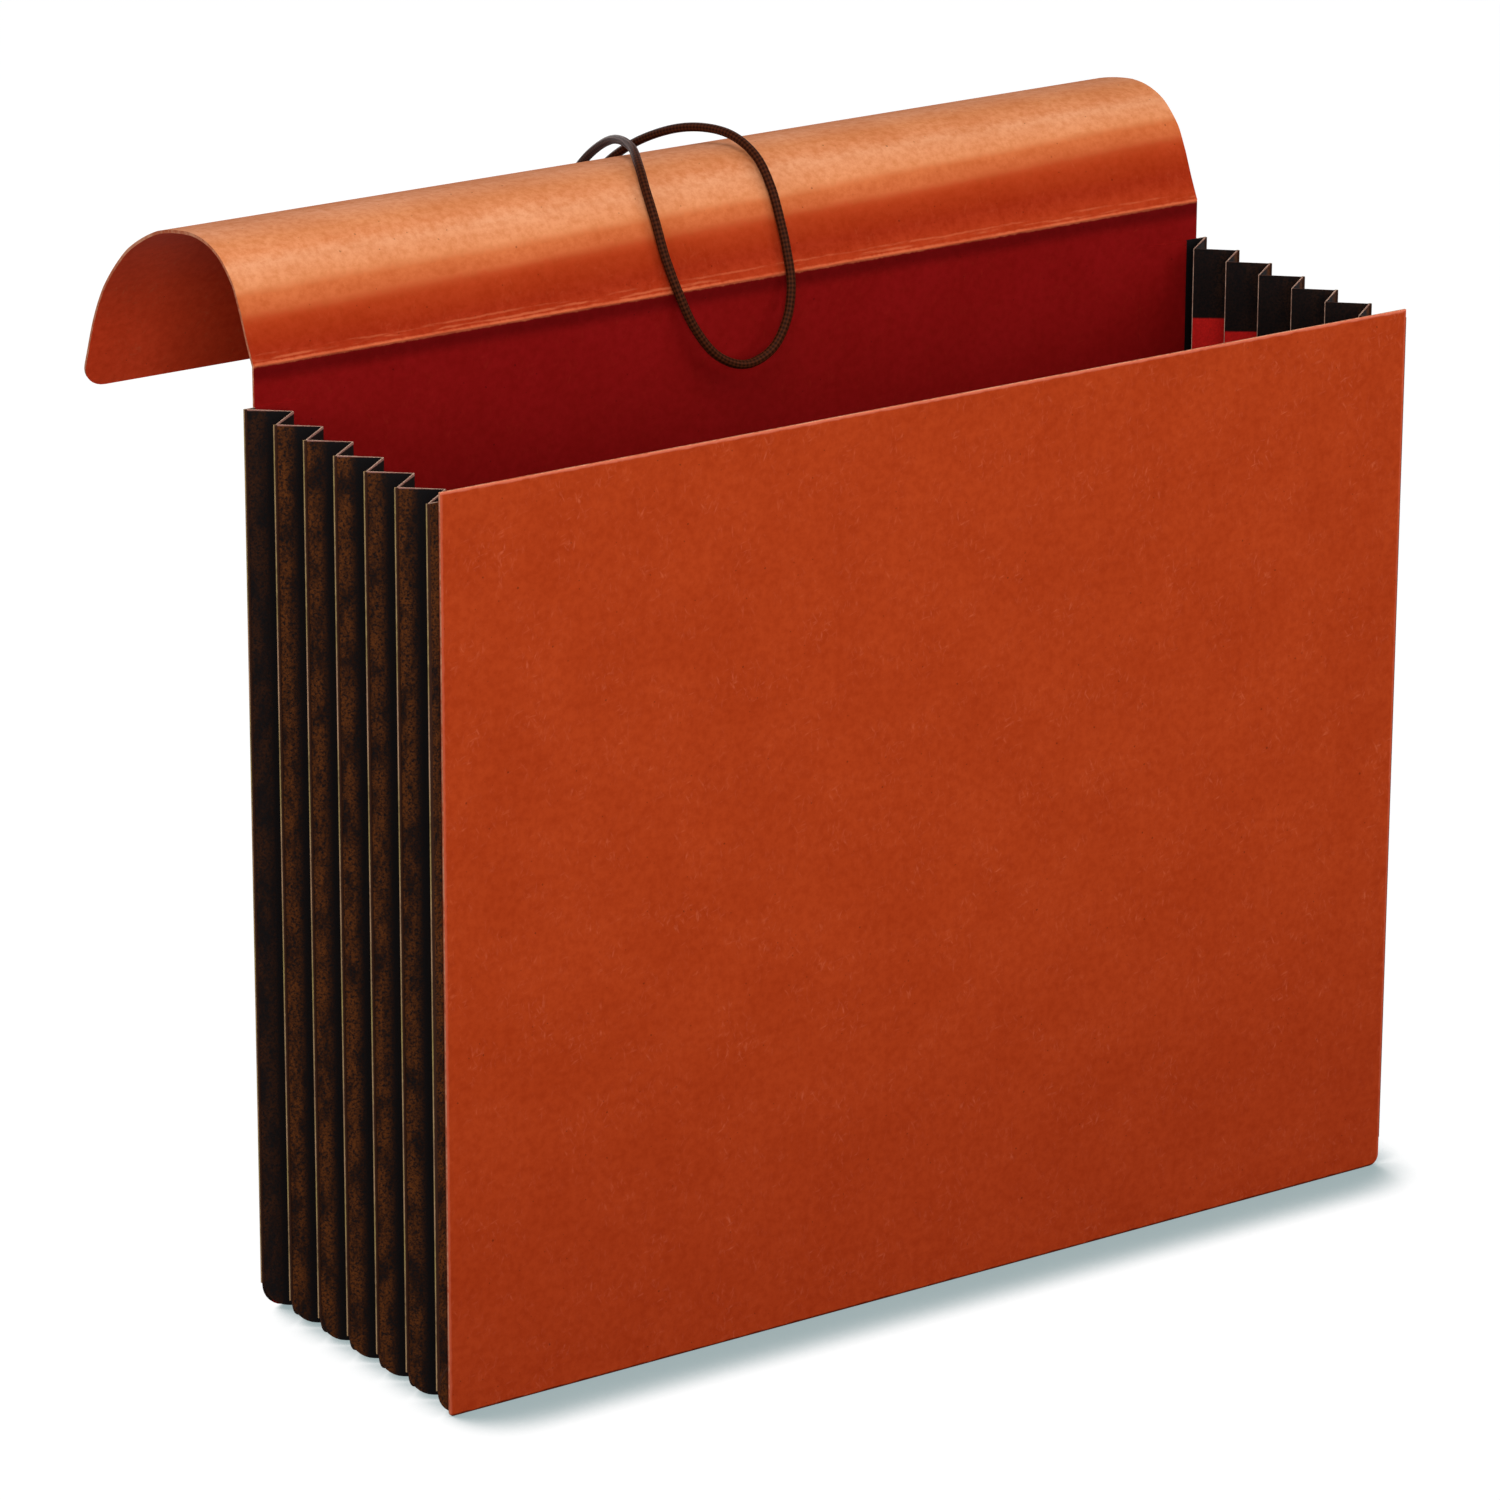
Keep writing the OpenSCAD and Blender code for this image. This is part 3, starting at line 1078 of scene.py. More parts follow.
def tube(name: str, path: Sequence[Vector], radius: float, sides: int) -> Workpiece:
    """A round cord or roll along a path, with its sheet map along and round it.

    Args:
        name: The piece's name.
        path: Points along its middle.
        radius: Its radius.
        sides: Number of sides.

    Returns:
        The piece, smooth, with closed ends.
    """
    mesh = bmesh.new()
    layer = mesh.loops.layers.uv.new(SHEET_MAP)
    rings: List[List[bmesh.types.BMVert]] = []
    run = [0.0]
    turns = [2 * math.pi * s / sides for s in range(sides)]
    start = path[1] - path[0]
    across = Vector((0.0, 1.0, 0.0)) if abs(start.x) > 0.7 * start.length else Vector((1.0, 0.0, 0.0))
    for i, point in enumerate(path):
        tangent = (path[min(len(path) - 1, i + 1)] - path[max(0, i - 1)]).normalized()
        across = (across - tangent * across.dot(tangent)).normalized()
        other = tangent.cross(across)
        spokes = [across * math.cos(a) + other * math.sin(a) for a in turns]
        rings.append([mesh.verts.new(point + spoke * radius) for spoke in spokes])
        if i:
            run.append(run[-1] + (point - path[i - 1]).length)
    for i, (here, there) in enumerate(zip(rings, rings[1:])):
        for s in range(sides):
            t = (s + 1) % sides
            face = mesh.faces.new((here[s], here[t], there[t], there[s]))
            corners = ((run[i], s), (run[i], s + 1), (run[i + 1], s + 1), (run[i + 1], s))
            for loop, (along, turn) in zip(face.loops, corners):
                loop[layer].uv = (along, turn / sides)
    mesh.faces.new(rings[0][::-1])
    mesh.faces.new(rings[-1])
    data = bpy.data.meshes.new(name)
    mesh.to_mesh(data)
    mesh.free()
    return Workpiece.from_mesh(name, data).smooth(degrees=60.0)


def curve_through(points: Sequence[Vector], steps: int) -> List[Vector]:
    """A smooth curve through points.

    Args:
        points: The points.
        steps: Number of steps from each point to the next.

    Returns:
        The curve's points.
    """
    out: List[Vector] = []
    last = len(points) - 1
    for i in range(last):
        a, b, c, d = (points[max(0, min(last, i + o))] for o in (-1, 0, 1, 2))
        for t in (s / steps for s in range(steps)):
            bend = (2 * a - 5 * b + 4 * c - d) * t**2 + (3 * b - a - 3 * c + d) * t**3
            out.append((2 * b + (c - a) * t + bend) / 2)
    out.append(points[-1].copy())
    return out


@dataclass
class Panels:
    """The front and rear sheets. The front one reaches past the CAD panel on the right, over the gusset."""

    front_outside: bpy.types.Material
    rear_outside: bpy.types.Material
    front_inside: bpy.types.Material
    rear_inside: bpy.types.Material
    edge: bpy.types.Material
    edge_round: float = 0.00018
    front_over: float = 0.0024
    front_corners: Tuple[float, float] = (0.0012, 0.003)

    def sheet(
        self, name: str, height: float, y: float, over: float, corners: Tuple[float, float]
    ) -> Workpiece:
        """An upright sheet with round bottom corners.

        Args:
            name: The piece's name.
            height: Its height.
            y: Its middle plane.
            over: How far it reaches past the panel's right edge.
            corners: Radii of its bottom left and right corners.

        Returns:
            The piece, without its finish.
        """
        piece = Workpiece.plane(name, 2 * SIZES.half_w + over, height, (over / 2, y, height / 2), UPRIGHT)
        piece.edit()
        for way, radius in zip((-1, 1), corners):
            piece.pick(lambda c: c.z < NEAR and c.x * way > SIZES.half_w - NEAR)
            bpy.ops.mesh.bevel(offset=radius, segments=CORNER_STEPS, affect="VERTICES")
        piece.close()
        piece.thicken(SIZES.panel_t).soften(self.edge_round)
        return piece.map_sheet(lambda c: (c.x - over / 2, c.z - SIZES.rear_h)).smooth(FLAT_ANGLE)

    def build(self) -> None:
        """Makes both sheets and sets them on the frame."""

        def choose(_: Vector, normal: Vector) -> int:
            """One finish faces the front, one the rear, and the core shows on the edges."""
            return 2 if abs(normal.y) < FACING else 0 if normal.y < 0 else 1

        front_y = SIZES.fold_y(SIZES.pleats) - SIZES.flange_t - SIZES.panel_t / 2
        front = self.sheet("front_sheet", SIZES.front_h, front_y, self.front_over, self.front_corners)
        front.dress((self.front_outside, self.front_inside, self.edge), choose)
        front.join_frame("front", ["front_panel"], "panel_paper")
        rear = self.sheet("rear_sheet", SIZES.rear_h, 0.0, 0.0, (SIZES.panel_corner_r,) * 2)
        rear.dress((self.rear_inside, self.rear_outside, self.edge), choose)
        rear.join_frame("back", ["rear_panel"], "panel_paper")


@dataclass
class Gusset:
    """The pleated strip: glued flanges, worn outer folds and the leaves between them.

    root_reach and tip_reach are how far a leaf goes past its hinge and past its length. spare is what a
    pattern is taller by than any piece cut from it. pressed is the share of a flange's thickness that is
    pressed away at its free edge, and roll_sink how far the first and last folds are sunk into the flanges.
    """

    outside: bpy.types.Material
    inside: bpy.types.Material
    fold: bpy.types.Material
    edge: bpy.types.Material
    # Painted shade: the dark cut edge, for edges facing down and the right side's front leaf tops.
    dark_edge: bpy.types.Material
    lining: bpy.types.Material
    root_reach: float = 0.00066
    tip_reach: float = 0.000746
    roll_sides: int = 12
    bottom_half_w: float = 0.1397
    bottom_map_start: float = 0.06
    lined_half_w: float = 0.1454
    edge_round: float = 0.00012
    spare: float = 0.002
    floor_gap: float = 0.00005
    pressed: float = 0.96
    roll_sink: float = 0.0002
    roll_drop: float = 0.00005

    def roll_pattern(self) -> Workpiece:
        """The rolled edge of an outer fold, down the left side, along the bottom and up the right side.

        Returns:
            A pattern piece at the frame's middle plane, taller than any fold.
        """
        corner, top = SIZES.fold_corner_r, SIZES.gusset_rear_h + self.spare
        quarter = {"steps": CORNER_STEPS, "angle": math.pi / 2, "axis": (0.0, -1.0, 0.0)}
        run_x, run_z = SIZES.fold_x - corner, SIZES.fold_z + corner
        piece = Workpiece.disc("roll_pattern", SIZES.fold_r, self.roll_sides, (-SIZES.fold_x, 0.0, top))
        piece.edit("FACE")
        bpy.ops.mesh.select_all(action="SELECT")
        piece.extrude((0.0, 0.0, run_z - top))
        bpy.ops.mesh.spin(center=(-run_x, 0.0, run_z), **quarter)
        piece.extrude((2 * run_x, 0.0, 0.0))
        bpy.ops.mesh.spin(center=(run_x, 0.0, run_z), **quarter)
        piece.extrude((0.0, 0.0, top - run_z))
        piece.close()

        def where(c: Vector) -> Tuple[float, float]:
            """A place on the roll's sheet map.

            Args:
                c: A vertex's place.

            Returns:
                The way along the fold, and round it with 0.5 at its outermost line.
            """
            out = Vector((max(0.0, abs(c.x) - run_x), min(0.0, c.z - run_z))).length - corner
            along = c.x if abs(c.x) < run_x else math.copysign(run_x + corner + c.z, c.x)
            return along, 0.5 + math.atan2(c.y, out) / (2 * math.pi)

        return piece.tidy().map_sheet(where)

    def flange(self, name: str, y: float, top: float) -> Workpiece:
        """The strip that is glued inside a panel, along its sides and bottom, pressed thin at its free edge.

        Args:
            name: The piece's name.
            y: Its middle plane.
            top: Its height.

        Returns:
            The piece, dressed.
        """
        low, inner = self.floor_gap, SIZES.fold_x - SIZES.flange_w
        edge = low + SIZES.flange_w
        piece = Workpiece.plane(name, 2 * SIZES.fold_x, top - low, (0.0, y, (top + low) / 2), UPRIGHT)
        piece.edit()
        piece.pick(lambda c: c.z < top / 2)
        bpy.ops.mesh.bevel(offset=SIZES.fold_corner_r, segments=CORNER_STEPS, affect="VERTICES")
        for x in (SIZES.half_w, self.lined_half_w, inner):
            piece.cut((-x, 0.0, 0.0), (1.0, 0.0, 0.0))
            piece.cut((x, 0.0, 0.0), (1.0, 0.0, 0.0))
        piece.cut((0.0, 0.0, edge), (0.0, 0.0, 1.0))
        bpy.ops.mesh.select_mode(type="FACE")
        piece.pick(lambda c: abs(c.x) < inner and c.z > edge, "faces")
        bpy.ops.mesh.delete(type="FACE")
        piece.close()
        piece.thicken(SIZES.flange_t)
        free = 1 if y < -SIZES.pitch else -1
        piece.edit()
        piece.pick(lambda c: abs(c.x) < inner + NEAR and c.z > edge - NEAR and free * (c.y - y) > 0)
        bpy.ops.transform.translate(value=(0.0, -free * self.pressed * SIZES.flange_t, 0.0))
        piece.close()
        piece.map_sheet(lambda c: (c.x, c.z - SIZES.rear_h))

        def choose(c: Vector, normal: Vector) -> int:
            """The lining stops short of the fold, where the dark paper shows, and the core shows on top.

            Args:
                c: A face's middle.
                normal: Its normal.

            Returns:
                The number of its finish.
            """
            if -SIZES.half_w < c.x < self.lined_half_w:
                return 0
            return 2 if normal.z > UPWARD and abs(c.x) > SIZES.half_w else 1

        return piece.dress((self.lining, self.outside, self.edge), choose).smooth()

    def leaf_pattern(self, side: Side) -> Workpiece:
        """A flat leaf, with X in from its outer fold and Y up the side or along the bottom.

        Args:
            side: The run that it is for.

        Returns:
            A pattern piece, taller than any side leaf.
        """
        width = SIZES.leaf_len + self.root_reach + self.tip_reach
        middle = (SIZES.leaf_len + self.tip_reach - self.root_reach) / 2
        if side is Side.BOTTOM:
            return Workpiece.plane("leaf_pattern", width, 2 * self.bottom_half_w, (middle, 0.0, 0.0))
        low, high = SIZES.leaf_z, SIZES.gusset_rear_h + self.spare
        piece = Workpiece.plane("leaf_pattern", width, high - low, (middle, (low + high) / 2, 0.0))
        piece.edit()
        piece.pick(lambda c: c.x < middle and c.y < high / 2)
        corner = SIZES.fold_corner_r - SIZES.hinge_in
        bpy.ops.mesh.bevel(offset=corner, segments=CORNER_STEPS, affect="VERTICES")
        piece.close()
        return piece

    def leaf(self, pattern: Workpiece, side: Side, k: int, half: Half) -> Workpiece:
        """One flat leaf of a pleat, from its outer fold to its inner fold.

        Args:
            pattern: The flat leaf.
            side: The run that it belongs to.
            k: The pleat's number, from 1 at the rear.
            half: Which of the pleat's two leaves.

        Returns:
            The piece, dressed.
        """
        way = half.value
        fold = k - 1 if half is Half.A else k
        root_top = SIZES.gusset_top(fold)
        piece = pattern.copy(f"{side.value}_pleat_{k}{half.name.lower()}")
        if side is not Side.BOTTOM:
            fall = (SIZES.gusset_top(fold - way / 2) - root_top) / SIZES.leaf_len
            piece.edit()
            piece.cut((0.0, root_top, 0.0), (-fall, 1.0, 0.0), trim=True)
            piece.close()
        piece.thicken(SIZES.leaf_t).soften(self.edge_round)
        if side is Side.BOTTOM:
            piece.map_sheet(lambda c: (c.x, self.bottom_map_start + abs(c.y)))
        else:
            piece.map_sheet(lambda c: (c.x, root_top - c.y))
        y = SIZES.fold_y(fold) + way * SIZES.fold_gap
        inward, ahead = math.sin(SIZES.leaf_angle), way * math.cos(SIZES.leaf_angle)
        if side is Side.BOTTOM:
            outward, up = Vector((0.0, 0.0, -1.0)), Vector((1.0, 0.0, 0.0))
            hinge = Vector((0.0, y, SIZES.leaf_z))
        else:
            outward, up = Vector((-1.0 if side is Side.LEFT else 1.0, 0.0, 0.0)), Vector((0.0, 0.0, 1.0))
            hinge = outward * (SIZES.fold_x - SIZES.hinge_in) + Vector((0.0, y, 0.0))
        along = outward * -inward + Vector((0.0, ahead, 0.0))
        facing = along.cross(up)
        piece.place(Matrix.Translation(hinge) @ Matrix((along, up, facing)).transposed().to_4x4())
        face = facing if facing.dot(outward) > 0 else -facing

        def choose(_: Vector, normal: Vector) -> int:
            """The nap is outside, the lined face inside, and the core shows on the edges.

            Args:
                _: A face's middle.
                normal: Its normal.

            Returns:
                The number of its finish. Edges below, and on top of the right side's front leaves, are dark, as painted
                shade.
            """
            lean = normal.dot(face)
            if abs(lean) > FACING:
                return 0 if lean > 0 else 1
            # Painted shade: edges facing down and the tops of the right side's front leaves take the dark edge.
            below = normal.z < DOWNWARD
            shaded_front_top = side is Side.RIGHT and half is Half.B and normal.z > UPWARD
            return 3 if below or shaded_front_top else 2

        return piece.dress((self.outside, self.inside, self.edge, self.dark_edge), choose).smooth(FLAT_ANGLE)

    def build(self) -> None:
        """Makes every piece of the gusset and sets it on the frame."""
        last = SIZES.pleats
        rear = self.flange("rear_flange", SIZES.fold_y(0) + SIZES.flange_t / 2, SIZES.gusset_top(0))
        rear.join_frame("back", ["rear_glue_flange"], "gusset_paper")
        front = self.flange("front_flange", SIZES.fold_y(last) - SIZES.flange_t / 2, SIZES.gusset_top(last))
        front.join_frame("front", ["front_glue_flange"], "gusset_paper")
        pattern = self.roll_pattern()
        for k in range(last + 1):
            roll = pattern.copy(f"fold_roll_{k}")
            roll.edit()
            roll.cut((0.0, 0.0, SIZES.gusset_top(k) - self.roll_drop), (0.0, 0.0, 1.0), trim=True)
            roll.close()
            sunk = {0: self.roll_sink, last: -self.roll_sink}.get(k, 0.0)
            roll.place(Matrix.Translation((0.0, SIZES.fold_y(k) + sunk, 0.0)))
            roll.dress((self.fold,)).smooth(degrees=50.0)
            body = "back" if k == 0 else "front" if k == last else f"crease_{k}"
            roll.join_frame(body, [f"pleat_crease_{k}"] if 0 < k < last else [], "gusset_fold")
        pattern.discard()
        for side in Side:
            pattern = self.leaf_pattern(side)
            for k in range(1, last + 1):
                for half in Half:
                    node = f"{side.value}_leaf_{k}{half.name.lower()}"
                    self.leaf(pattern, side, k, half).join_frame(node, [node], "gusset_paper")
            pattern.discard()


@dataclass(frozen=True)
class FlapStrip:
    """One stretch of the flap's profile, from the place and angle at which it starts.

    The angle is taken from upright towards the back, and a radius of 0 stands for a straight stretch.
    """

    y: float
    z: float
    angle: float
    radius: float
    length: float

    def point(self, s: float) -> Tuple[float, float, float]:
        """A place along the strip.

        Args:
            s: Distance from the strip's start.

        Returns:
            Y, Z and the angle there.
        """
        if self.radius == 0.0:
            return self.y + s * math.sin(self.angle), self.z + s * math.cos(self.angle), self.angle
        end = self.angle + s / self.radius
        y = self.y + self.radius * (math.cos(self.angle) - math.cos(end))
        z = self.z + self.radius * (math.sin(end) - math.sin(self.angle))
        return y, z, end


@dataclass
class Flap:
    """The curled flap: one sheet of paper in lengths that bend from strip to strip.

    Angles are in degrees. row is the height of the sheet's rows and fine that of the rows at a length's ends.
    press_lines are the distances from the crease at which the paper was pressed, with a sag between them.
    The roll along the crease ends roll_short from the sides and lies roll_ahead in front, and roll_map is the
    share of its height on its sheet map.
    """

    upper: bpy.types.Material
    under: bpy.types.Material
    edge: bpy.types.Material
    lean: float = 24.0
    rise: float = 0.016
    top_r: float = 0.022
    top_turn: float = 33.0
    back_r: float = 0.058
    back_turn: float = 14.0
    end: float = 0.016
    corner_r: float = 0.007
    corner_gap: float = 0.0004
    cuts: int = 29
    row: float = 0.0012
    fine: float = 0.0001
    press_lines: Tuple[float, ...] = (0.0, 0.0135, 0.0205, 0.0295, 0.044, 0.06, 0.078, 0.096, 0.1283)
    sag: float = 0.00016
    roll_r: float = 0.00045
    roll_steps: int = 140
    roll_sides: int = 10
    roll_wander: float = 0.00006
    roll_short: float = 0.0002
    roll_ahead: float = 0.00004
    roll_map: float = 0.7
    strips: List[FlapStrip] = field(default_factory=list)

    def __post_init__(self) -> None:
        """Lays the strips end to end from the crease."""
        bends = [(self.top_r, self.top_turn)] * 2 + [(self.back_r, self.back_turn)] * 5
        lengths = [(0.0, self.rise)] + [(r, r * math.radians(t)) for r, t in bends] + [(0.0, self.end)]
        y, z, angle = 0.0, SIZES.rear_h, math.radians(self.lean)
        for radius, length in lengths:
            self.strips.append(FlapStrip(y, z, angle, radius, length))
            y, z, angle = self.strips[-1].point(length)

    def start_of(self, i: int) -> float:
        """Distance from the crease to the start of strip i, from 1."""
        return sum(s.length for s in self.strips[: i - 1])

    def middle_of(self, i: int) -> float:
        """Distance from the crease to the middle of strip i."""
        return self.start_of(i) + self.strips[i - 1].length / 2

    def at(self, u: float) -> Tuple[Vector, Vector]:
        """A place on the sheet's middle line, a little hollow between the lines where the paper was pressed.

        Args:
            u: Distance from the crease along the sheet.

        Returns:
            The point, at X 0, and the direction out of the upper side.
        """
        i = max(n for n in range(1, len(self.strips) + 1) if n == 1 or u >= self.start_of(n))
        y, z, angle = self.strips[i - 1].point(u - self.start_of(i))
        out = Vector((0.0, -math.cos(angle), math.sin(angle)))
        low = max(line for line in self.press_lines[:-1] if line <= max(0.0, u))
        high = self.press_lines[self.press_lines.index(low) + 1]
        hollow = self.sag * math.sin(math.pi * min(1.0, (u - low) / (high - low)))
        return Vector((0.0, y, z)) - out * hollow, out

    def rows(self, start: float, end: float, last: bool) -> List[float]:
        """Places of the sheet's rows, close together at its ends so that lengths meet without a shading seam.

        Args:
            start: Where the length starts.
            end: Where it ends.
            last: Whether it ends in the free edge, whose corners are cut from one row.

        Returns:
            Distances from the crease.
        """
        low = start + self.fine
        high = end - self.corner_r - self.corner_gap if last else end - self.fine
        count = max(2, math.ceil((high - low) / self.row))
        inner = [low + (high - low) * i / count for i in range(count + 1)]
        return [start] + inner + [end]

    def length(self, i: int) -> Workpiece:
        """One length of the sheet, from the middle of a strip to the middle of the next.

        Args:
            i: Its number. The first starts at the crease, and the last ends in the free edge.

        Returns:
            The piece, dressed.
        """
        last = i == len(self.strips) - 1
        start = 0.0 if i == 1 else self.middle_of(i)
        end = self.start_of(i + 2) if last else self.middle_of(i + 1)
        rows = self.rows(start, end, last)
        points = [self.at(u)[0] for u in rows]
        first, second = points[:2]
        tilt = (math.atan2(second.z - first.z, second.y - first.y), 0.0, 0.0)
        middle = tuple((first + second) / 2)
        piece = Workpiece.plane(f"flap_sheet_{i}", 2 * SIZES.half_w, (second - first).length, middle, tilt)
        piece.edit("EDGE")
        piece.pick(lambda c: abs(c.x) < NEAR, "edges")
        bpy.ops.mesh.subdivide(number_cuts=self.cuts)
        piece.pick(lambda c: math.hypot(c.y - second.y, c.z - second.z) < NEAR, "edges")
        for here, there in zip(points[1:], points[2:]):
            piece.extrude(there - here)
        if last:
            tip, side = points[-1], SIZES.half_w - NEAR
            bpy.ops.mesh.select_mode(type="VERT")
            piece.pick(lambda c: abs(c.x) > side and math.hypot(c.y - tip.y, c.z - tip.z) < NEAR)
            bpy.ops.mesh.bevel(offset=self.corner_r, segments=CORNER_STEPS, affect="VERTICES")
        piece.close()
        piece.tidy()

        def nearest(c: Vector) -> float:
            """The place on the sheet nearest a point.

            Args:
                c: The point.

            Returns:
                Its distance from the crease along the sheet.
            """
            flat = Vector((0.0, c.y, c.z))
            best = min(range(len(rows) - 1), key=lambda n: ((points[n] + points[n + 1]) / 2 - flat).length)
            run = points[best + 1] - points[best]
            return rows[best] + (flat - points[best]).dot(run) / run.length

        piece.map_sheet(lambda c: (c.x, nearest(c)))
        piece.thicken(SIZES.panel_t)

        def choose(c: Vector, normal: Vector) -> int:
            """The pocket's side of the paper is on top, and the core shows on the edges."""
            up = normal.dot(self.at(min(end, max(start, nearest(c))))[1])
            return 0 if up > FACING else 1 if up < -FACING else 2

        return piece.dress((self.upper, self.under, self.edge), choose).smooth(degrees=40.0)

    def crease(self) -> Workpiece:
        """The rolled crease, uneven from use.

        Returns:
            The piece, dressed.
        """
        end = SIZES.half_w - self.roll_short
        waves = ((1.0, 61.0, 0.7), (0.6, 143.0, 2.1), (0.4, 311.0, 4.0))
        points = []
        for x in (end * (2 * i / self.roll_steps - 1) for i in range(self.roll_steps + 1)):
            wander = sum(size * math.sin(x * rate + phase) for size, rate, phase in waves)
            points.append(Vector((x, -self.roll_ahead, SIZES.rear_h + self.roll_wander * wander)))
        piece = tube("crease_roll", points, self.roll_r, self.roll_sides)
        piece.map_sheet(lambda c: (c.x, self.roll_map * (c.z - SIZES.rear_h)))
        return piece.dress((self.upper,))

    def build(self) -> None:
        """Makes the sheet's lengths and the crease and sets them on the frame."""
        self.crease().join_frame("back", [], "panel_paper")
        total = len(self.strips) - 1
        for i in range(1, total + 1):
            piece = self.length(i)
            start, end = (tuple(self.at(self.middle_of(n))[0]) for n in (i, i + 1))
            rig.blend(piece.obj, f"flap_{i}", f"flap_{i + 1}", start=start, end=end)
            nodes = [f"flap_strip_{i}"] + ([f"flap_strip_{i + 1}"] if i == total else [])
            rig.replaces(piece.obj, *nodes)
            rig.slot(piece.obj, "panel_paper")
            LOG.info("%s bends from strip %d to strip %d", piece.obj.name, i, i + 1)


@dataclass
class Closure:
    """The elastic loop, the eyelet that it passes through and the knot behind it.

    eyelet_edge is the eyelet's distance from the flap's free edge. The knot's size is that of one unit of its
    formula, its span and start are shares of the whole turn, and knot_drop is its middle's distance from the
    eyelet. The route's points are given in X, Y and the height from the crease.
    """

    elastic: bpy.types.Material
    metal: bpy.types.Material
    flap: Flap
    cord_d: float = 0.0024
    eyelet_edge: float = 0.009
    bore_r: float = 0.0028
    wall: float = 0.0004
    rim_w: float = 0.0016
    rim_t: float = 0.0004
    knot_size: float = 0.00105
    knot_depth: float = 1.25
    knot_span: float = 0.86
    knot_start: float = 0.09
    knot_steps: int = 24
    knot_tail: float = 0.002
    knot_tail_drop: float = 0.0012
    knot_drop: float = 0.0023
    knot_squeeze: float = 0.92
    route: Tuple[Point, ...] = (
        (-0.0013, 0.0835, -0.0171), (-0.0014, 0.0874, -0.0135), (-0.0018, 0.0877, -0.008),
        (-0.0026, 0.085, -0.0016), (-0.0037, 0.0796, 0.0064), (-0.005, 0.0715, 0.0153),
        (-0.0068, 0.06, 0.0235), (-0.01, 0.046, 0.0295), (-0.0155, 0.03, 0.0315),
        (-0.0205, 0.019, 0.0295), (-0.0235, 0.011, 0.0245), (-0.0243, 0.0055, 0.0175),
        (-0.024, 0.0018, 0.0095), (-0.0225, -0.0021, 0.0005), (-0.019, -0.0044, -0.009),
        (-0.013, -0.006, -0.017), (-0.0045, -0.0066, -0.0206), (0.004, -0.0064, -0.018),
        (0.0095, -0.0054, -0.011), (0.0123, -0.0034, -0.0025), (0.0132, 0.0, 0.006),
        (0.0134, 0.0036, 0.014), (0.0136, 0.008, 0.0215), (0.0138, 0.015, 0.028),
        (0.0132, 0.025, 0.0316), (0.0114, 0.036, 0.0318), (0.0086, 0.047, 0.0294),
        (0.006, 0.06, 0.0236), (0.0042, 0.0715, 0.0157), (0.003, 0.0796, 0.0066),
        (0.0022, 0.085, -0.0015), (0.0016, 0.0877, -0.0079), (0.0014, 0.0874, -0.0134),
        (0.0013, 0.0835, -0.0171),
    )

    def seat(self) -> Matrix:
        """The eyelet's place.

        Returns:
            The place, with Y along the flap and Z out of its upper side.
        """
        strip = self.flap.strips[-1]
        y, z, angle = strip.point(strip.length - self.eyelet_edge)
        return Matrix.Translation((0.0, y, z)) @ Matrix.Rotation(math.pi / 2 - angle, 4, "X")

    def cord(self, knot: Workpiece) -> None:
        """Makes the elastic loop over the arch and sets it on the frame.

        Args:
            knot: The knot on its ends.
        """
        path = curve_through([Vector((x, y, z + SIZES.rear_h)) for x, y, z in self.route], steps=10)
        piece = tube("elastic_loop", path, self.cord_d / 2, sides=16).dress((self.elastic,))
        piece.join_frame("cord", ["elastic_cord"], "elastic")
        length = sum((b - a).length for a, b in zip(path, path[1:]))
        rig.cord(
            piece.obj,
            exit=tuple(path[0]),
            length=round(length, 4),
            diameter=self.cord_d,
            far_end="object",
            stiffness="limp",
            lay="loose",
            path=[tuple(p) for p in path],
            with_pieces=[knot.obj],
        )
        seat = self.seat()
        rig.squash(piece.obj, "flap", axis=tuple(seat.col[2][:3]), anchor=tuple(seat.translation), keep=0.3)

    def knot(self) -> Workpiece:
        """An overhand knot with two short ends, drawn up against the eyelet on the flap's hollow side.

        Returns:
            The piece, set on the frame.
        """
        points = []
        for i in range(self.knot_steps + 1):
            t = 2 * math.pi * (i / self.knot_steps * self.knot_span + self.knot_start)
            x, y = math.sin(t) + 2 * math.sin(2 * t), math.cos(t) - 2 * math.cos(2 * t)
            points.append(Vector((x, y, -self.knot_depth * math.sin(3 * t))) * self.knot_size)
        drop = Vector((0.0, 0.0, -self.knot_tail_drop))
        points.insert(0, points[0] + (points[0] - points[1]).normalized() * self.knot_tail + drop)
        points.append(points[-1] + (points[-1] - points[-2]).normalized() * self.knot_tail + drop)
        radius = self.knot_squeeze * self.cord_d / 2
        piece = tube("cord_end_knot", curve_through(points, steps=6), radius, sides=12)
        below = SIZES.panel_t / 2 + self.rim_t + self.knot_drop
        piece.place(self.seat() @ Matrix.Translation((0.0, 0.0, -below))).dress((self.elastic,))
        return piece.join_frame("flap_9", ["cord_knot"], "elastic")

    def eyelet(self) -> None:
        """Spins the eyelet from its section, with a rolled rim on both sides, and sets it on the frame."""
        inner, barrel = self.bore_r, self.bore_r + self.wall
        outer, seat, crown = barrel + self.rim_w, SIZES.panel_t / 2, SIZES.panel_t / 2 + self.rim_t
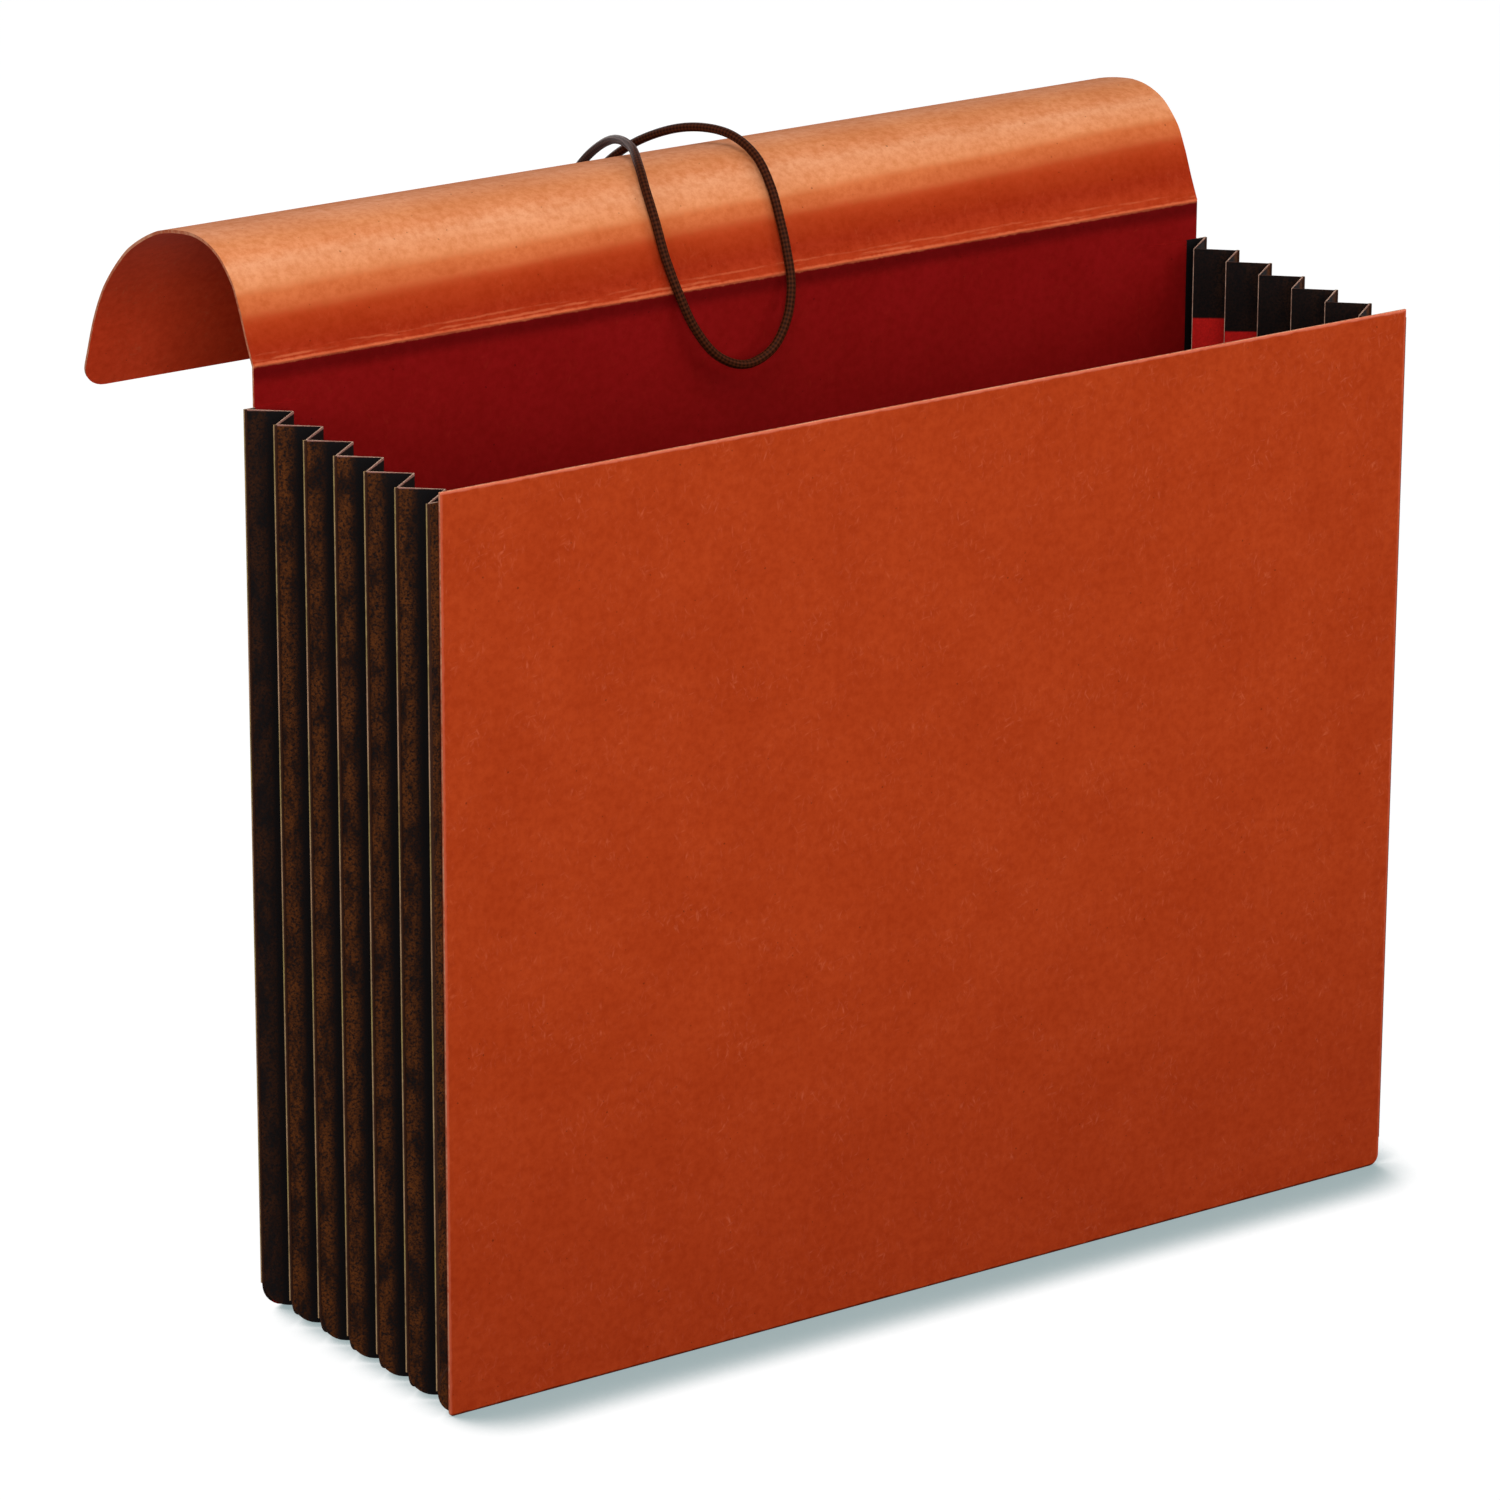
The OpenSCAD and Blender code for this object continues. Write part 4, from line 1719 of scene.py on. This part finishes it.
        # Half of the section, from the barrel's outside over the rolled rim to the bore.
        half = [
            (barrel, 0.0), (barrel, seat), (outer - 0.0002, seat), (outer, seat + 0.00012),
            (outer - 0.0001, seat + 0.00026), (outer - 0.0006, crown - 0.00002), (barrel + 0.0003, crown),
            (barrel - 0.0001, crown - 0.00004), (inner + 0.0001, crown - 0.0002), (inner, seat), (inner, 0.0),
        ]
        section = half + [(r, -z) for r, z in half[-2:0:-1]]
        mesh = bpy.data.meshes.new("eyelet_ring")
        count = len(section)
        mesh.from_pydata([(r, 0.0, z) for r, z in section], [(i, (i + 1) % count) for i in range(count)], [])
        piece = Workpiece.from_mesh("eyelet_ring", mesh)
        piece.edit()
        bpy.ops.mesh.select_all(action="SELECT")
        bpy.ops.mesh.spin(steps=48, angle=2 * math.pi, center=(0.0, 0.0, 0.0), axis=(0.0, 0.0, 1.0))
        piece.close()
        piece.tidy().place(self.seat()).dress((self.metal,)).smooth(degrees=40.0)
        piece.join_frame("flap_9", ["eyelet"], "eyelet_metal")

    def build(self) -> None:
        """Makes the knot, the loop and the eyelet."""
        self.cord(self.knot())
        self.eyelet()


@dataclass(frozen=True)
class Softbox:
    """A round soft lamp, by the way to it, its strength where the object is, its distance and its width."""

    name: str
    way: Point
    strength: float
    distance: float = 1.3
    width: float = 0.8
    target: Point = (0.0, -0.04, 0.14)

    def build(self) -> None:
        """Hangs the lamp."""
        data = bpy.data.lights.new(self.name, "AREA")
        data.shape = "DISK"
        data.size = self.width
        data.energy = self.strength * math.pi * self.distance**2
        obj = bpy.data.objects.new(self.name, data)
        way = Vector(self.way).normalized()
        obj.location = Vector(self.target) + way * self.distance
        obj.rotation_euler = way.to_track_quat("Z", "Y").to_euler()
        bpy.context.scene.collection.objects.link(obj)


@dataclass
class Studio:
    """The white floor, the soft light and the camera, whose angles are in degrees and lens in millimetres."""

    place: Point = (-1.0345, -1.4818, 0.7312)
    yaw: float = 34.974
    pitch: float = 18.570
    roll: float = 0.194
    lens: float = 172.287
    sensor_w: float = 36.0
    far: float = 50.0
    floor_w: float = 14.0
    floor_z: float = -0.0001
    ambient: float = 0.16
    lamps: Tuple[Softbox, ...] = (
        Softbox("softbox_top", (-0.3, -0.42, 0.85), 1.75),
        Softbox("softbox_front", (0.55, -0.75, 0.65), 1.25, distance=1.0),
        Softbox("softbox_left", (-0.45, -0.86, 0.25), 1.25, distance=2.6, width=1.2),
        Softbox("fill_left", (-0.95, -0.1, 0.3), 0.7),
        Softbox("softbox_back", (0.25, 0.95, 0.2), 0.7),
    )

    def camera(self) -> None:
        """Sets the camera where the photograph was taken from."""
        data = bpy.data.cameras.new("camera")
        data.sensor_width = self.sensor_w
        data.lens = self.lens
        data.clip_end = self.far
        yaw, pitch, roll = (math.radians(a) for a in (self.yaw, self.pitch, self.roll))
        ahead = Vector((math.sin(yaw), math.cos(yaw), 0.0))
        across = Vector((math.cos(yaw), -math.sin(yaw), 0.0))
        top = Vector((0.0, 0.0, 1.0))
        forward = ahead * math.cos(pitch) - top * math.sin(pitch)
        up = ahead * math.sin(pitch) + top * math.cos(pitch)
        right = across * math.cos(roll) + up * math.sin(roll)
        up = up * math.cos(roll) - across * math.sin(roll)
        turn = Matrix((right, up, -forward)).transposed().to_4x4()
        obj = bpy.data.objects.new("camera", data)
        obj.matrix_world = Matrix.Translation(self.place) @ turn
        bpy.context.scene.collection.objects.link(obj)
        bpy.context.scene.camera = obj

    def world(self) -> None:
        """An even pale light all round, which the camera sees as white."""
        world = bpy.data.worlds.new("studio")
        bpy.context.scene.world = world
        world.use_nodes = True
        nodes = Nodes(world.node_tree)
        white = (1.0, 1.0, 1.0)
        even = nodes.node("ShaderNodeBackground", {}, {"Color": white, "Strength": self.ambient})
        seen = nodes.node("ShaderNodeBackground", {}, {"Color": white, "Strength": 1.0})
        mixed = nodes.node("ShaderNodeMixShader", {}, {0: nodes.seen(), 1: even, 2: seen})
        nodes.node("ShaderNodeOutputWorld", {}, {"Surface": mixed})

    def build(self) -> None:
        """Makes the floor, the lamps and the camera."""
        bpy.context.scene.view_settings.view_transform = "Standard"
        floor = Workpiece.plane("floor", self.floor_w, self.floor_w, (0.0, 0.0, self.floor_z))
        floor.dress((StudioFloor().make(),))
        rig.stage(floor.obj)
        self.world()
        for lamp in self.lamps:
            lamp.build()
        self.camera()


def write_sizes() -> None:
    """Writes the solids' box and the visible model's box to disk."""
    boxes = {"cad": [list(p) for p in CAD_BOX], "visual": [list(p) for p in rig.bounds()]}
    with open("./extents.json", "w") as out:
        json.dump(boxes, out, indent=1)


RUSSET: Colour = (0.44, 0.051, 0.009)
RUSSET_FIBRE: Colour = (0.57, 0.115, 0.047)
# Painted shade: the panels' inside faces are the outside's paper, drawn darker and redder.
CRIMSON: Colour = (0.212, 0.0043, 0.0044)
CRIMSON_FIBRE: Colour = (0.26, 0.019, 0.009)
CREASE: Colour = (0.62, 0.15, 0.06)
# Pale top edge of the gusset's leaves, partly cut core and partly painted highlight.
PALE_EDGE: Colour = (0.26, 0.12, 0.095)

# Painted highlight and painted shade of the flap, in bands by height from the crease.
PAINTED_LIGHT_BANDS: Tuple[Tuple[float, Colour], ...] = (
    (0.0, (0.4, 0.043, 0.012)), (0.0025, (0.36, 0.034, 0.01)), (0.0055, (0.32, 0.027, 0.008)),
    (0.0085, (0.34, 0.032, 0.008)), (0.0125, (0.4, 0.047, 0.012)), (0.014, (0.44, 0.065, 0.018)),
    (0.0158, (0.54, 0.13, 0.044)), (0.0192, (0.58, 0.16, 0.055)), (0.0212, (0.67, 0.26, 0.115)),
    (0.0275, (0.7, 0.31, 0.16)), (0.0315, (0.68, 0.26, 0.115)), (0.036, (0.68, 0.26, 0.11)),
    (0.045, (0.76, 0.34, 0.19)), (0.13, (0.43, 0.046, 0.007)),
)


def main() -> None:
    """Builds the studio and the wallet's sub-assemblies in order."""
    logging.basicConfig(level=logging.INFO, format="%(name)s: %(message)s")
    Studio().build()
    rim = (SIZES.half_w + Panels.front_over / 2, SIZES.front_h - SIZES.rear_h, -SIZES.rear_h)
    # The front's rim paints shade over its lower part and a shadow line along its foot.
    front = FibrePaper("front_paper", RUSSET, RUSSET_FIBRE, rim=rim).make()
    outside = FibrePaper("outside_paper", RUSSET, RUSSET_FIBRE).make()
    # Painted light: the flap's hollow side is the rear panel's outside paper, drawn brighter.
    under = FibrePaper("under_paper", (0.66, 0.062, 0.018), RUSSET_FIBRE).make()
    # The inside faces take CRIMSON, painted shade.
    inside = FibrePaper("inside_paper", CRIMSON, CRIMSON_FIBRE, fibres=0.3, gloss=0.03).make()
    pocket = FibrePaper("pocket_paper", CRIMSON, CRIMSON_FIBRE, fibres=0.3, gloss=0.03, worn=CREASE).make()
    # The flap's banded tones are painted highlight and painted shade.
    upper = FibrePaper(
        "flap_paper", RUSSET, CREASE, fibres=0.15, roughness=0.5, gloss=0.0, worn=CREASE, rolled=PAINTED_LIGHT_BANDS
    ).make()
    edge = CutEdge("panel_edge", (0.6, 0.26, 0.15), (0.42, 0.09, 0.035)).make()
    flap = Flap(upper, under, edge)
    elastic = BraidedElastic("woven_elastic", (0.014, 0.0035, 0.0015), (0.06, 0.014, 0.005)).make()
    metal = PlatedMetal("eyelet_plating", (0.62, 0.5, 0.3), (0.36, 0.29, 0.18)).make()
    Closure(elastic, metal, flap).build()
    Panels(front, outside, inside, pocket, edge).build()
    dark_paper = GussetPaper(
        "gusset_outside",
        nap=(0.02, 0.0062, 0.0024),
        rubbed=(0.1, 0.028, 0.006),
        black=(0.0036, 0.0032, 0.0036),
        pale=PALE_EDGE,
    )
    # Painted shade: the gusset's inside nap is drawn darker than its outside. Painted light: its lining is drawn
    # lighter than the pocket's red paper, against the shade deep in the gusset.
    lined_paper = GussetPaper(
        "gusset_inside",
        nap=(0.008, 0.004, 0.0035),
        rubbed=(0.022, 0.009, 0.005),
        black=(0.003, 0.0025, 0.0025),
        pale=PALE_EDGE,
        lining=(0.52, 0.011, 0.009),
    )
    Gusset(
        dark_paper.make(),
        lined_paper.make(),
        WornFold("gusset_fold", (0.03, 0.01, 0.005), (0.5, 0.29, 0.17)).make(),
        CutEdge("gusset_edge", (0.5, 0.34, 0.25), (0.26, 0.14, 0.1)).make(),
        # Painted shade: the dark cut edge.
        CutEdge("gusset_dark_edge", (0.07, 0.025, 0.014), (0.02, 0.008, 0.005)).make(),
        pocket,
    ).build()
    flap.build()
    write_sizes()


if __name__ == "__main__":
    main()
